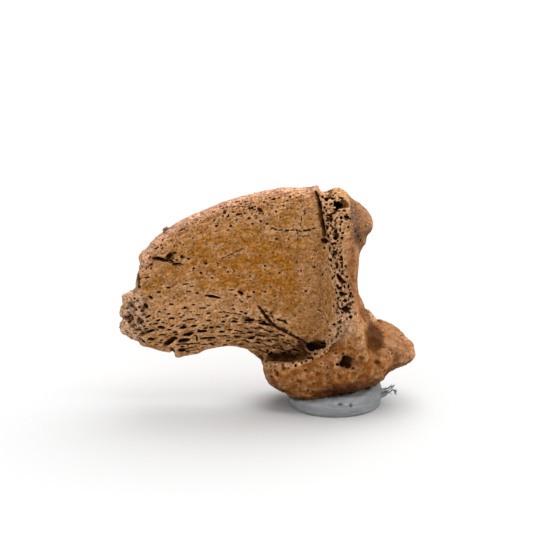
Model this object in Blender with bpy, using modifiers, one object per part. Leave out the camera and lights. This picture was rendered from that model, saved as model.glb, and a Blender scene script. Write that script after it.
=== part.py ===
# Claw bone of a cave bear: the last bone of a toe, which carried the horn claw.
# Its tip is broken off, and it stands on its flexor tubercle in a pat of putty.
# The bone is seen from its side along +Y: the blade points to -X and the joint faces +X.
# Sizes are millimetres, and MM turns them into metres.

import math

import bmesh
import bpy
import numpy as np
from mathutils import Matrix, Vector
from mathutils.bvhtree import BVHTree

MM = 0.001

# The blade, as (x, z) along its two edges from the broken tip to the joint.
DORSAL_EDGE = [
    (-32.5, 14.8),
    (-31.7, 16.4),
    (-30.0, 17.4),
    (-29.3, 22.4),
    (-27.9, 24.8),
    (-24.5, 27.7),
    (-19.2, 30.4),
    (-11.1, 32.9),
    (-4.8, 33.6),
    (0.0, 33.0),
    (3.0, 31.0),
]
VENTRAL_EDGE = [
    (-32.5, 12.3),
    (-31.7, 10.7),
    (-29.6, 9.3),
    (-27.4, 8.3),
    (-21.9, 7.7),
    (-16.0, 8.8),
    (-13.4, 8.4),
    (-11.4, 6.8),
    (-8.0, 6.0),
    (3.0, 6.0),
]
BLADE_THICKNESS = [
    (-32.5, 2.4),
    (-31.5, 3.8),
    (-28.0, 4.6),
    (-19.0, 5.7),
    (-8.0, 7.1),
    (-3.5, 8.6),
    (3.0, 10.6),
]
BLADE_KEEL_SHARE = 0.62
BLADE_FLAT = 2.7
BLADE_STATION_STEP = 0.7
SIDE_HOLLOW = 0.45

# The lumps of spongy bone where the tip broke off, and a chip below, as (x, y, z, radius).
TIP_LUMPS = [
    (-31.0, -0.6, 16.3, 1.3),
    (-31.3, 0.3, 14.2, 1.1),
    (-31.5, -0.7, 12.1, 1.15),
    (-30.4, 0.9, 10.7, 1.1),
    (-29.7, 0.6, 16.6, 1.2),
    (-29.0, -0.6, 9.6, 1.0),
    (-30.6, 1.3, 13.2, 1.2),
    (-23.9, -0.5, 8.2, 0.9),
]

# The base behind the blade, as (z, front x, back x, width) of its level slices.
BASE_SLICES = [
    (33.1, -3.0, 0.9, 4.2),
    (32.2, -3.5, 1.9, 7.8),
    (30.3, -3.3, 2.9, 11.4),
    (27.0, -2.8, 3.3, 14.4),
    (23.0, -2.5, 3.6, 16.8),
    (19.0, -2.4, 3.5, 18.0),
    (15.5, -2.5, 3.9, 18.2),
    (12.5, -3.0, 5.2, 17.6),
    (9.5, -4.0, 6.2, 16.4),
    (6.5, -4.5, 6.0, 15.0),
]
BASE_SQUARENESS = 3.0
BASE_FRONT_SHARE = 0.45

# The process above the joint, as (x, bottom z, top z, width) of its upright slices.
EXTENSOR_SLICES = [
    (-1.0, 22.0, 32.8, 9.6),
    (2.0, 22.5, 32.0, 9.8),
    (3.6, 24.0, 31.0, 8.8),
    (4.8, 25.5, 30.0, 6.8),
    (5.4, 26.6, 28.9, 4.0),
]
EXTENSOR_SQUARENESS = 2.1

# The flexor tubercle and the lip behind it, in the same terms.
TUBERCLE_SLICES = [
    (-11.0, 6.1, 7.4, 4.0),
    (-10.6, 4.5, 8.0, 8.0),
    (-9.9, 3.2, 8.4, 10.0),
    (-8.6, 2.6, 8.7, 11.4),
    (-7.5, 2.0, 8.9, 12.2),
    (-6.4, 1.4, 9.2, 12.8),
    (-4.5, 1.1, 9.6, 13.6),
    (-1.5, 1.35, 10.6, 14.6),
    (2.5, 2.2, 12.8, 15.6),
    (4.6, 3.0, 14.0, 15.2),
    (6.2, 3.5, 12.7, 14.6),
    (7.0, 4.2, 12.1, 14.0),
    (7.9, 5.5, 11.6, 13.2),
    (10.4, 6.5, 10.6, 10.8),
    (11.4, 7.1, 9.5, 7.4),
    (11.8, 7.6, 8.8, 3.8),
]
TUBERCLE_SQUARENESS = 2.3
LEDGE_SQUARENESS = 3.8

# The two hollow facets of the joint, which leave a ridge between them.
JOINT_PROFILE = [
    (10.6, 31.0),
    (6.9, 28.2),
    (4.7, 25.6),
    (3.7, 23.0),
    (3.35, 19.5),
    (3.6, 16.4),
    (4.9, 14.0),
    (7.9, 12.1),
    (11.0, 9.9),
    (15.0, 6.9),
]
FACET_RADIUS = 5.4
FACET_DEPTH = 0.85
FACET_OFFSET = 3.6

# The broken hood stands off the blade on each side: a slot behind the blade, given as
# (x, inner y, z), and a trough above the tubercle, given as (x, y, z, radius).
SLOT_PATH = [
    (-3.35, 0.8, 34.2),
    (-3.1, 1.6, 33.0),
    (-2.7, 2.4, 31.8),
    (-2.3, 2.9, 30.2),
    (-1.9, 3.3, 28.2),
    (-1.75, 3.5, 26.3),
]
SLOT_WIDTH = 0.95
SLOT_REACH = 5.0
TROUGH_PATH = [
    (-12.6, 2.6, 7.9, 0.8),
    (-10.0, 3.1, 8.3, 1.15),
    (-7.5, 3.3, 8.8, 1.35),
    (-5.0, 3.5, 9.2, 1.4),
    (-2.4, 3.9, 9.8, 1.2),
]

# Openings on each side, as centre, direction inwards, long axis, the two radii and depth.
FORAMINA = {
    "root": ((-3.0, 4.5, 10.1), (0.7, -1.0, 0.0), (1.0, 0.7, 0.1), (2.3, 0.9), 3.6),
    "tubercle": ((1.4, 7.5, 8.6), (0.1, -1.0, 0.15), (0.0, 0.0, 1.0), (1.2, 1.05), 3.0),
    "crest": ((0.45, 4.2, 32.0), (-0.2, -1.0, -0.4), (1.0, 0.0, 0.0), (0.8, 0.7), 2.2),
}
COLLATERAL_PIT = ((5.9, 7.7, 11.9), (0.2, -1.0, 0.0), (0.2, 0.0, 1.0), (2.3, 1.6), 1.8)

# The larger slits, pores and broken cells of each side, seen from its side, as
# (x, z, length, width, rise in degrees, depth).
MAIN_PITS = [
    (-24.8, 10.4, 2.2, 1.1, 24, 1.0),
    (-27.8, 11.9, 1.6, 0.6, 20, 0.8),
    (-22.1, 11.5, 1.8, 0.6, 12, 0.9),
    (-19.2, 10.8, 2.7, 0.6, 3, 0.9),
    (-26.2, 13.7, 1.2, 0.5, 15, 0.7),
    (-22.8, 13.7, 1.3, 0.5, 8, 0.6),
    (-18.6, 12.6, 1.2, 0.5, -5, 0.7),
    (-14.9, 11.3, 1.3, 0.5, 0, 0.8),
    (-12.9, 13.9, 1.6, 0.6, 3, 0.8),
    (-16.2, 14.2, 1.2, 0.4, -5, 0.6),
    (-10.6, 14.8, 2.4, 0.5, -50, 0.6),
    (-7.9, 12.4, 2.1, 0.4, -28, 0.5),
    (-11.2, 11.2, 1.5, 0.4, -6, 0.5),
    (-8.8, 10.0, 1.5, 0.4, -15, 0.5),
    (-23.0, 8.8, 1.3, 0.5, 8, 0.7),
    (-18.5, 17.5, 2.5, 0.5, -9, 0.6),
    (-14.2, 18.1, 1.3, 0.6, -28, 0.6),
    (-26.3, 18.1, 1.2, 0.5, 12, 0.5),
    (-22.4, 19.1, 1.2, 0.4, 10, 0.45),
    (-24.6, 16.2, 1.2, 0.5, -5, 0.5),
    (-23.0, 27.8, 1.1, 0.5, 25, 0.4),
    (-16.6, 30.4, 0.9, 0.6, 10, 0.4),
    (-11.4, 30.9, 1.2, 0.7, -35, 0.45),
    (-26.7, 24.9, 1.1, 0.4, 25, 0.4),
    (-6.9, 27.9, 2.2, 0.4, 0, 0.35),
    (-14.9, 24.5, 1.8, 0.4, 25, 0.3),
    (-19.5, 22.6, 0.9, 0.5, -10, 0.35),
    (-23.0, 23.6, 0.9, 0.6, 20, 0.4),
    (-28.4, 15.8, 1.0, 0.7, -60, 0.8),
    (-31.0, 14.0, 1.1, 0.9, 70, 1.0),
    (-29.8, 12.0, 0.9, 0.5, 0, 0.6),
    (-1.0, 30.0, 1.2, 0.8, 20, 0.7),
    (1.4, 30.4, 1.1, 0.7, -15, 0.6),
    (-0.2, 27.7, 1.3, 0.8, 90, 0.9),
    (-0.4, 25.1, 1.2, 0.8, 15, 0.8),
    (0.4, 21.4, 1.5, 0.8, -58, 1.1),
    (0.5, 19.4, 1.3, 0.8, 8, 0.9),
    (1.2, 17.3, 1.4, 1.0, 60, 1.0),
    (0.4, 15.0, 0.9, 0.7, 40, 0.6),
    (2.9, 27.9, 1.2, 0.7, 80, 0.5),
    (2.1, 24.3, 1.3, 0.6, 85, 0.25),
    (-7.8, 7.2, 0.9, 0.5, 10, 0.4),
    (-8.8, 6.2, 1.1, 0.7, 80, 0.4),
    (-5.5, 5.5, 1.2, 0.8, 10, 0.3),
    (-2.6, 6.8, 1.2, 0.8, 15, 0.3),
    (0.5, 6.3, 1.2, 0.8, 20, 0.25),
    (3.8, 9.5, 1.2, 0.9, -10, 0.3),
    (6.2, 8.6, 1.2, 0.8, -20, 0.3),
    (8.3, 10.2, 1.2, 0.9, -30, 0.35),
]
PIT_STEPS = (8, 4)
OPENING_STEPS = (16, 10)
OUTSIDE = 20.0

# The pat of putty.
PUTTY_RADIUS = (7.2, 7.6)
PUTTY_FOOT_SHARE = 0.975
PUTTY_HEIGHT = 2.7
PUTTY_SLOPE = 0.15
PUTTY_GAP = 0.3

BONE_VOXEL = 0.4
BONE_FACES = 5200
RING_POINTS = 40
SHARP_ANGLE = 50


def clear_scene():
    for obj in list(bpy.data.objects):
        bpy.data.objects.remove(obj, do_unlink=True)


def new_collection(name):
    made = bpy.data.collections.new(name)
    bpy.context.scene.collection.children.link(made)
    return made


def smooth_curve(points):
    """A cubic through the points, as a function of their first number."""
    xs = np.array([p[0] for p in points], float)
    ys = np.array([p[1] for p in points], float)
    slopes = np.gradient(ys, xs)

    def value(x):
        i = int(np.clip(np.searchsorted(xs, x) - 1, 0, len(xs) - 2))
        span = xs[i + 1] - xs[i]
        t = float(np.clip((x - xs[i]) / span, 0.0, 1.0))
        keep, move = 2 * t**3 - 3 * t**2 + 1, t**3 - 2 * t**2 + t
        return (
            keep * ys[i]
            + (1 - keep) * ys[i + 1]
            + span * (move * slopes[i] + (t**3 - t**2) * slopes[i + 1])
        )

    return value


def signed_power(value, power):
    return math.copysign(abs(value) ** power, value)


def squared_ring(half_across, half_up, squareness, upper_squareness=None):
    """Points round a rounded rectangle, as (across, up)."""
    lower, upper = squareness, upper_squareness or squareness
    ring = []
    for k in range(RING_POINTS):
        angle = 2 * math.pi * k / RING_POINTS
        squareness = upper if k < RING_POINTS / 2 else lower
        across = half_across * signed_power(math.cos(angle), 2 / squareness)
        up = half_up * signed_power(math.sin(angle), 2 / squareness)
        ring.append((across, up))
    return ring


def loft(name, rings, collection):
    """A closed body through rings of points that lie in order along it."""
    mesh = bpy.data.meshes.new(name)
    bm = bmesh.new()
    rows = [[bm.verts.new(Vector(p) * MM) for p in ring] for ring in rings]
    for near, far in zip(rows, rows[1:]):
        for k in range(RING_POINTS):
            after = (k + 1) % RING_POINTS
            bm.faces.new((near[k], near[after], far[after], far[k]))
    bm.faces.new(rows[0])
    bm.faces.new(rows[-1])
    bmesh.ops.recalc_face_normals(bm, faces=bm.faces)
    bm.to_mesh(mesh)
    bm.free()
    obj = bpy.data.objects.new(name, mesh)
    collection.objects.link(obj)
    return obj


def make_blade(collection):
    top, bottom = smooth_curve(DORSAL_EDGE), smooth_curve(VENTRAL_EDGE)
    thickness = smooth_curve(BLADE_THICKNESS)
    start, end = DORSAL_EDGE[0][0], DORSAL_EDGE[-1][0]
    rings = []
    for x in np.linspace(start, end, round((end - start) / BLADE_STATION_STEP)):
        middle = (top(x) + bottom(x)) / 2
        half_depth = (top(x) - bottom(x)) / 2
        ring = []
        for across, up in squared_ring(thickness(x) / 2, half_depth, BLADE_FLAT):
            level = (up / half_depth + 1) / 2
            share = BLADE_KEEL_SHARE + (1 - BLADE_KEEL_SHARE) * level
            hollow = SIDE_HOLLOW * math.sin(math.pi * level) ** 4
            narrowed = max(abs(across) * share - hollow, 0.0)
            ring.append((x, math.copysign(narrowed, across), middle + up))
        rings.append(ring)
    return loft("blade", rings, collection)


def make_upright_slices(name, slices, lower, upper, collection):
    """A body through upright slices, with its own squareness below and above."""
    rings = []
    for x, bottom, top, width in slices:
        ring = squared_ring(width / 2, (top - bottom) / 2, lower, upper)
        middle = (top + bottom) / 2
        rings.append([(x, across, middle + up) for across, up in ring])
    return loft(name, rings, collection)


def make_base(collection):
    """Level slices that grow wider from the blade to the rim of the joint."""
    rings = []
    for z, front, back, width in BASE_SLICES:
        half_length, middle = (back - front) / 2, (front + back) / 2
        ring = []
        for along, across in squared_ring(half_length, 1.0, BASE_SQUARENESS):
            share = (along / half_length + 1) / 2
            taper = BASE_FRONT_SHARE + (1 - BASE_FRONT_SHARE) * share
            ring.append((along, across * taper))
        widest = max(across for along, across in ring)
        grow = width / 2 / widest
        rings.append([(middle + along, across * grow, z) for along, across in ring])
    return loft("base", rings, collection)


def make_tip_lumps(collection):
    for n, (x, y, z, radius) in enumerate(TIP_LUMPS):
        bm = bmesh.new()
        place = Matrix.Translation(Vector((x, y, z)) * MM)
        bmesh.ops.create_icosphere(bm, subdivisions=2, radius=radius * MM, matrix=place)
        mesh = bpy.data.meshes.new(f"tip_lump_{n}")
        bm.to_mesh(mesh)
        bm.free()
        collection.objects.link(bpy.data.objects.new(mesh.name, mesh))


def swept_tube(name, points, radii, collection):
    """A closed mesh tube along a smooth path, with its own radius at each point."""
    curve = bpy.data.curves.new(name, "CURVE")
    curve.dimensions = "3D"
    curve.bevel_depth = MM
    curve.bevel_resolution = 4
    curve.use_fill_caps = True
    curve.resolution_u = 6
    spline = curve.splines.new("BEZIER")
    spline.bezier_points.add(len(points) - 1)
    for bezier, point, radius in zip(spline.bezier_points, points, radii):
        bezier.co = Vector(point) * MM
        bezier.radius = radius
        bezier.handle_left_type = bezier.handle_right_type = "AUTO"
    guide = bpy.data.objects.new(name + "_path", curve)
    collection.objects.link(guide)
    graph = bpy.context.evaluated_depsgraph_get()
    mesh = bpy.data.meshes.new_from_object(guide.evaluated_get(graph))
    weld_mesh(mesh)
    bpy.data.objects.remove(guide)
    obj = bpy.data.objects.new(name, mesh)
    collection.objects.link(obj)
    return obj


def weld_mesh(mesh):
    bm = bmesh.new()
    bm.from_mesh(mesh)
    bmesh.ops.remove_doubles(bm, verts=bm.verts, dist=0.001 * MM)
    bmesh.ops.recalc_face_normals(bm, faces=bm.faces)
    bm.to_mesh(mesh)
    bm.free()


def oval_cutter(name, place, side, collection, steps=OPENING_STEPS):
    """A stretched ball that sinks into the bone and stands out of it."""
    centre, inward, long_axis, radii, depth = place
    mirrored = [Vector((v[0], v[1] * side, v[2])) for v in (centre, inward, long_axis)]
    spot, inward, long_axis = mirrored
    inward.normalize()
    long_axis = (long_axis - inward * long_axis.dot(inward)).normalized()
    frame = Matrix((long_axis, inward.cross(long_axis), inward)).transposed().to_4x4()
    stretch = Matrix.Diagonal((radii[0] * MM, radii[1] * MM, depth * MM, 1.0))
    bm = bmesh.new()
    bmesh.ops.create_uvsphere(bm, u_segments=steps[0], v_segments=steps[1], radius=1.0)
    moved = Matrix.Translation(spot * MM) @ frame @ stretch
    bmesh.ops.transform(bm, matrix=moved, verts=bm.verts)
    mesh = bpy.data.meshes.new(name)
    bm.to_mesh(mesh)
    bm.free()
    obj = bpy.data.objects.new(name, mesh)
    collection.objects.link(obj)
    return obj


def main_pit_cutters(bone, side, collection):
    """Small balls with few faces, set where a line from the side meets the bone."""
    bm = bmesh.new()
    bm.from_mesh(bone.data)
    surface = BVHTree.FromBMesh(bm)
    bm.free()
    for n, (x, z, length, width, rise, depth) in enumerate(MAIN_PITS):
        start = Vector((x, OUTSIDE * side, z)) * MM
        spot, normal, face, distance = surface.ray_cast(start, Vector((0.0, -side, 0.0)))
        turn = math.radians(rise)
        along = (math.cos(turn), 0.0, math.sin(turn))
        place = (spot / MM, -normal, along, (length / 2, width / 2), depth)
        oval_cutter(f"pit_{side}_{n}", place, 1, collection, PIT_STEPS)


def slot_cutter(side, collection):
    """A narrow upright body that cuts the slot between the blade and the broken hood."""
    rings = []
    for x, inner, z in SLOT_PATH:
        middle = inner + SLOT_REACH / 2
        ring = squared_ring(SLOT_WIDTH / 2, SLOT_REACH / 2, TUBERCLE_SQUARENESS)
        rings.append([(x + along, (middle + across) * side, z) for along, across in ring])
    return loft(f"slot_{side}", rings, collection)


def facet_cutter(side, collection):
    """A tube that runs along the joint's profile, mostly outside it."""
    path = []
    for i, (x, z) in enumerate(JOINT_PROFILE):
        before = JOINT_PROFILE[max(i - 1, 0)]
        after = JOINT_PROFILE[min(i + 1, len(JOINT_PROFILE) - 1)]
        along = Vector((after[0] - before[0], after[1] - before[1])).normalized()
        outward = Vector((-along.y, along.x))
        lift = FACET_RADIUS - FACET_DEPTH
        path.append((x + outward.x * lift, FACET_OFFSET * side, z + outward.y * lift))
    return swept_tube(f"facet_{side}", path, [FACET_RADIUS] * len(path), collection)


def add_boolean(obj, collection, operation, solver="EXACT"):
    modifier = obj.modifiers.new(operation.lower(), "BOOLEAN")
    modifier.operation = operation
    modifier.operand_type = "COLLECTION"
    modifier.collection = collection
    modifier.solver = solver
    return modifier


def apply_modifiers(obj):
    graph = bpy.context.evaluated_depsgraph_get()
    mesh = bpy.data.meshes.new_from_object(obj.evaluated_get(graph))
    obj.modifiers.clear()
    obj.data = mesh


def remove_collection(collection):
    for obj in list(collection.objects):
        bpy.data.objects.remove(obj, do_unlink=True)
    bpy.data.collections.remove(collection)


def keep_largest_body(mesh):
    """Leaves only the largest closed surface of the mesh."""
    bm = bmesh.new()
    bm.from_mesh(mesh)
    bm.verts.ensure_lookup_table()
    left = set(bm.verts)
    bodies = []
    while left:
        body, front = set(), [left.pop()]
        while front:
            vert = front.pop()
            body.add(vert)
            for edge in vert.link_edges:
                other = edge.other_vert(vert)
                if other in left:
                    left.remove(other)
                    front.append(other)
        bodies.append(body)
    largest = max(bodies, key=len)
    loose = [v for v in bm.verts if v not in largest]
    bmesh.ops.delete(bm, geom=loose, context="VERTS")
    bm.to_mesh(mesh)
    bm.free()


def make_bone(part):
    pieces = new_collection("bone_pieces")
    bone = make_blade(part)
    bone.name = bone.data.name = "claw_bone"
    make_base(pieces)
    rounding = EXTENSOR_SQUARENESS
    make_upright_slices("extensor", EXTENSOR_SLICES, rounding, rounding, pieces)
    rounding = TUBERCLE_SQUARENESS
    make_upright_slices("tubercle", TUBERCLE_SLICES, rounding, LEDGE_SQUARENESS, pieces)
    make_tip_lumps(pieces)
    add_boolean(bone, pieces, "UNION")
    apply_modifiers(bone)
    remove_collection(pieces)

    hollows = new_collection("bone_hollows")
    for side in (-1, 1):
        facet_cutter(side, hollows)
        oval_cutter(f"collateral_pit_{side}", COLLATERAL_PIT, side, hollows)
    add_boolean(bone, hollows, "DIFFERENCE")
    apply_modifiers(bone)
    remove_collection(hollows)

    remesh = bone.modifiers.new("fuse", "REMESH")
    remesh.mode = "VOXEL"
    remesh.voxel_size = BONE_VOXEL * MM
    soften = bone.modifiers.new("soften", "SMOOTH")
    soften.factor = 0.5
    soften.iterations = 6
    apply_modifiers(bone)
    thin = bone.modifiers.new("thin", "DECIMATE")
    faces = sum(len(p.vertices) - 2 for p in bone.data.polygons)
    thin.ratio = BONE_FACES / faces
    apply_modifiers(bone)

    openings = new_collection("bone_openings")
    for side in (-1, 1):
        for name, sizes in FORAMINA.items():
            oval_cutter(f"{name}_{side}", sizes, side, openings)
        trough = [(x, y * side, z) for x, y, z, radius in TROUGH_PATH]
        swept_tube(f"trough_{side}", trough, [p[3] for p in TROUGH_PATH], openings)
        slot_cutter(side, openings)
        main_pit_cutters(bone, side, openings)
    add_boolean(bone, openings, "DIFFERENCE")
    apply_modifiers(bone)
    remove_collection(openings)
    keep_largest_body(bone.data)
    return bone


def make_putty(part, bone):
    """A pressed disc whose top slopes, with the print of the bone in it."""
    levels = [
        (0.0, PUTTY_FOOT_SHARE),
        (0.35, 0.98),
        (1.2, 1.0),
        (PUTTY_HEIGHT - 0.7, 0.99),
        (PUTTY_HEIGHT - 0.2, 0.94),
        (PUTTY_HEIGHT, 0.82),
    ]
    rings = []
    for z, share in levels:
        ring = squared_ring(PUTTY_RADIUS[0] * share, PUTTY_RADIUS[1] * share, 2.1)
        rings.append([(x, y, z + PUTTY_SLOPE * x * (z / PUTTY_HEIGHT) ** 2) for x, y in ring])
    putty = loft("stand_putty", rings, part)

    prints = new_collection("putty_print")
    stamp = bpy.data.objects.new("stamp", bone.data.copy())
    prints.objects.link(stamp)
    swell = stamp.modifiers.new("gap", "DISPLACE")
    swell.mid_level = 0.0
    swell.strength = PUTTY_GAP * MM
    apply_modifiers(stamp)
    add_boolean(putty, prints, "DIFFERENCE")
    apply_modifiers(putty)
    remove_collection(prints)
    keep_largest_body(putty.data)
    return putty


def paint(obj, name, colour, roughness):
    material = bpy.data.materials.new(name)
    material.use_nodes = True
    shader = material.node_tree.nodes["Principled BSDF"]
    shader.inputs["Base Color"].default_value = (*colour, 1.0)
    shader.inputs["Roughness"].default_value = roughness
    shader.inputs["Metallic"].default_value = 0.0
    obj.data.materials.clear()
    obj.data.materials.append(material)
    obj.data.shade_smooth()
    obj.data.set_sharp_from_angle(angle=math.radians(SHARP_ANGLE))


def centre_on_floor(objects):
    """Moves the model so that its origin is the middle of its box, at the bottom."""
    corners = [obj.matrix_world @ v.co for obj in objects for v in obj.data.vertices]
    low = [min(c[i] for c in corners) for i in range(3)]
    high = [max(c[i] for c in corners) for i in range(3)]
    move = Matrix.Translation(
        (-(low[0] + high[0]) / 2, -(low[1] + high[1]) / 2, -low[2])
    )
    for obj in objects:
        obj.data.transform(move)
    print("moved by", [round(v / MM, 3) for v in move.translation])


def main():
    clear_scene()
    part = new_collection("cave_bear_claw")
    bone = make_bone(part)
    putty = make_putty(part, bone)
    paint(bone, "fossil_bone", (0.42, 0.21, 0.085), 0.75)
    paint(putty, "putty", (0.42, 0.45, 0.46), 0.6)
    centre_on_floor([bone, putty])
    for obj in (bone, putty):
        print(obj.name, len(obj.data.vertices), "points")


main()
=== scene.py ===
import math
from contextlib import contextmanager

import bmesh
import bpy
import numpy as np
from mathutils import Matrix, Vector, kdtree
from mathutils.bvhtree import BVHTree


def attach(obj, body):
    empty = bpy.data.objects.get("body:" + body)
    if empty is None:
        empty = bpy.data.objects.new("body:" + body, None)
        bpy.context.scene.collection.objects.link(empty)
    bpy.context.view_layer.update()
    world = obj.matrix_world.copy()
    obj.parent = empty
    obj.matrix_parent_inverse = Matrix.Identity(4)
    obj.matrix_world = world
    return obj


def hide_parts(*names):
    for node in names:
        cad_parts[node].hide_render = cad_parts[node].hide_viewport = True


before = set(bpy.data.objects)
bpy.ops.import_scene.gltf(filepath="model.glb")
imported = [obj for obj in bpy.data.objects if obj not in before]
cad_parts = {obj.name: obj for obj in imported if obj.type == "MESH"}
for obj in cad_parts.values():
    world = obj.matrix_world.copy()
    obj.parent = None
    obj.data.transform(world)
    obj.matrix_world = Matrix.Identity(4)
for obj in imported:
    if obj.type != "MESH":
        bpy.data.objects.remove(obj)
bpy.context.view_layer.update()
mm = 0.001

# The photograph's view. Places on the bone are given in its pixels and carried along this
# camera's rays to the bone's surface, so they keep their place from any side.
viewSetup = {
    "aimHeight": 21.4,  # mm above the table
    "distance": 350.0,  # mm
    "lookDown": 16.0,  # degrees
    "photoSize": 533,  # pixels
    "mmPerPixel": 0.15,  # at the aim point
    "sensor": 36.0,  # mm
    "clipStart": 0.01,  # m
}
viewDown = math.radians(viewSetup["lookDown"])
viewAhead = np.array([0.0, math.cos(viewDown), -math.sin(viewDown)])
viewUp = np.array([0.0, math.sin(viewDown), math.cos(viewDown)])
viewAim = np.array([0.0, 0.0, viewSetup["aimHeight"]]) * mm
viewPoint = viewAim - viewAhead * viewSetup["distance"] * mm
photoMiddle = viewSetup["photoSize"] / 2
pixelSlope = viewSetup["mmPerPixel"] / viewSetup["distance"]
pixel = viewSetup["mmPerPixel"]


def toPhoto(points):  # the far side is folded over, so both sides carry the same marks
    near = points * np.array([1.0, 0.0, 1.0])
    near[:, 1] = -np.abs(points[:, 1])
    away = near - viewPoint
    depth = away @ viewAhead
    across = away[:, 0] / depth / pixelSlope
    rise = (away @ viewUp) / depth / pixelSlope
    return photoMiddle + across, photoMiddle - rise


def photoRay(px, py):
    across = (px - photoMiddle) * pixelSlope
    rise = (photoMiddle - py) * pixelSlope
    return Vector(viewPoint), Vector(viewAhead + viewUp * rise + np.array([across, 0, 0])).normalized()


def photoPlace(px, py, y):  # where a pixel's ray meets the upright plane y mm behind the middle
    start, ahead = photoRay(px, py)
    return start + ahead * ((y * mm - start[1]) / ahead[1])


def softStep(value, low, high):
    share = np.clip((value - low) / (high - low), 0.0, 1.0)
    return share * share * (3.0 - 2.0 * share)


def ovalMask(px, py, oval, soft):  # oval is x, y, half width, half height and turn in degrees, if any
    middle, level, halfWidth, halfHeight, turn = (*oval, 0)[:5]
    turn = math.radians(turn)
    x, y = px - middle, level - py
    along = (x * math.cos(turn) + y * math.sin(turn)) / halfWidth
    across = (y * math.cos(turn) - x * math.sin(turn)) / halfHeight
    return 1.0 - softStep(np.hypot(along, across), 1.0 - soft, 1.0 + soft)


def nearPath(px, py, path):  # distance of the nearest stretch, and how many stretches along it lies
    best, along = np.full(px.shape, 1e9), np.zeros(px.shape)
    for n, ((x0, y0), (x1, y1)) in enumerate(zip(path, path[1:])):
        run = np.clip(((px - x0) * (x1 - x0) + (py - y0) * (y1 - y0)) / ((x1 - x0) ** 2 + (y1 - y0) ** 2), 0, 1)
        far = np.hypot(px - x0 - run * (x1 - x0), py - y0 - run * (y1 - y0))
        along = np.where(far < best, n + run, along)
        best = np.minimum(far, best)
    return best, along


# Mesh helpers
meshSetup = {"mergeWithin": 0.002, "softenFactor": 0.5, "wayRounds": 20}  # mm, share, rounds that calm the normals


def vectors(items, field):
    flat = np.empty(len(items) * 3)
    items.foreach_get(field, flat)
    return flat.reshape(-1, 3)


def placesAndNormals(mesh):
    return vectors(mesh.vertices, "co"), vectors(mesh.vertices, "normal")


def movePoints(mesh, points):
    mesh.vertices.foreach_set("co", points.ravel())
    mesh.update()


def surfaceOf(obj):
    return BVHTree.FromObject(obj, bpy.context.evaluated_depsgraph_get())


@contextmanager
def meshWork(mesh):  # the mesh open for work on its parts
    work = bmesh.new()
    work.from_mesh(mesh)
    yield work
    work.to_mesh(mesh)
    work.free()


def setAttribute(mesh, name, values):
    kind = "FLOAT_VECTOR" if values.ndim == 2 else "FLOAT"
    field = "vector" if values.ndim == 2 else "value"
    attribute = mesh.attributes.get(name) or mesh.attributes.new(name, kind, "POINT")
    attribute.data.foreach_set(field, np.ascontiguousarray(values, np.float32).ravel())


def newObject(name, mesh):
    made = bpy.data.objects.new(name, mesh)
    bpy.context.scene.collection.objects.link(made)
    return made


def applyModifiers(obj):
    graph = bpy.context.evaluated_depsgraph_get()
    mesh = bpy.data.meshes.new_from_object(obj.evaluated_get(graph))
    before = obj.data
    obj.modifiers.clear()
    obj.data = mesh
    bpy.data.meshes.remove(before)


def averageOverNeighbours(mesh, values, rounds):
    edges = np.empty(len(mesh.edges) * 2, int)
    mesh.edges.foreach_get("vertices", edges)
    a, b = edges.reshape(-1, 2).T
    counts = np.bincount(np.concatenate([a, b]), minlength=len(mesh.vertices)) + 1.0
    columns = values.reshape(len(values), -1)
    for _ in range(rounds):
        summed = columns.copy()
        for c in range(columns.shape[1]):
            summed[:, c] += np.bincount(a, columns[b, c], len(columns)) + np.bincount(b, columns[a, c], len(columns))
        columns = summed / counts[:, None]
    return columns.reshape(values.shape)


def unit(ways):
    return ways / np.maximum(np.linalg.norm(ways, axis=1), 1e-6)[:, None]


def fillHollows(mesh, rounds):  # the points when every hollow is spanned by a skin, as far as the rounds reach
    points, normals = placesAndNormals(mesh)
    ways = unit(averageOverNeighbours(mesh, normals, meshSetup["wayRounds"]))
    for _ in range(rounds):
        calm = averageOverNeighbours(mesh, points, 1)
        sunk = np.sum((calm - points) * ways, axis=1) > 0
        points[sunk] = calm[sunk]
    return points


def triangles(mesh):
    return sum(len(p.vertices) - 2 for p in mesh.polygons)


def roughCopy(name, node, voxel, softening):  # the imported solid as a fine, even mesh
    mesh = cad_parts[node].data.copy()
    with meshWork(mesh) as work:
        bmesh.ops.remove_doubles(work, verts=work.verts, dist=meshSetup["mergeWithin"] * mm)
    mesh.materials.clear()
    made = newObject(name, mesh)
    remesh = made.modifiers.new("even", "REMESH")
    remesh.mode = "VOXEL"
    remesh.voxel_size = voxel * mm
    soften = made.modifiers.new("soften", "SMOOTH")
    soften.factor = meshSetup["softenFactor"]
    soften.iterations = softening
    applyModifiers(made)
    return made


# Node tree helpers
def feed(tree, socket, value):  # by a link, or else as the socket's own value
    if isinstance(value, bpy.types.NodeSocket):
        tree.links.new(value, socket)
    else:
        socket.default_value = value


def enabled(sockets):
    return [socket for socket in sockets if socket.enabled]


def addNode(tree, kind, inputs=None, **settings):
    node = tree.nodes.new(kind)
    for key, value in settings.items():
        setattr(node, key, value)
    for key, value in (inputs or {}).items():
        feed(tree, node.inputs[key], value)
    return node


def newTree(name, kind, inputs, outputs):  # each socket's name with its kind, or with the value that it starts at
    tree = bpy.data.node_groups.new(name, kind)
    if kind == "GeometryNodeTree":
        tree.is_modifier = True
    for way, sockets in (("INPUT", inputs), ("OUTPUT", outputs)):
        for label, start in sockets.items():
            named = isinstance(start, str)
            socketKind = start if named else {float: "Float", int: "Int", tuple: "Vector"}[type(start)]
            socket = tree.interface.new_socket(label, in_out=way, socket_type="NodeSocket" + socketKind)
            if not named:
                socket.default_value = start
    return tree, tree.nodes.new("NodeGroupInput").outputs, tree.nodes.new("NodeGroupOutput").inputs


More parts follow.
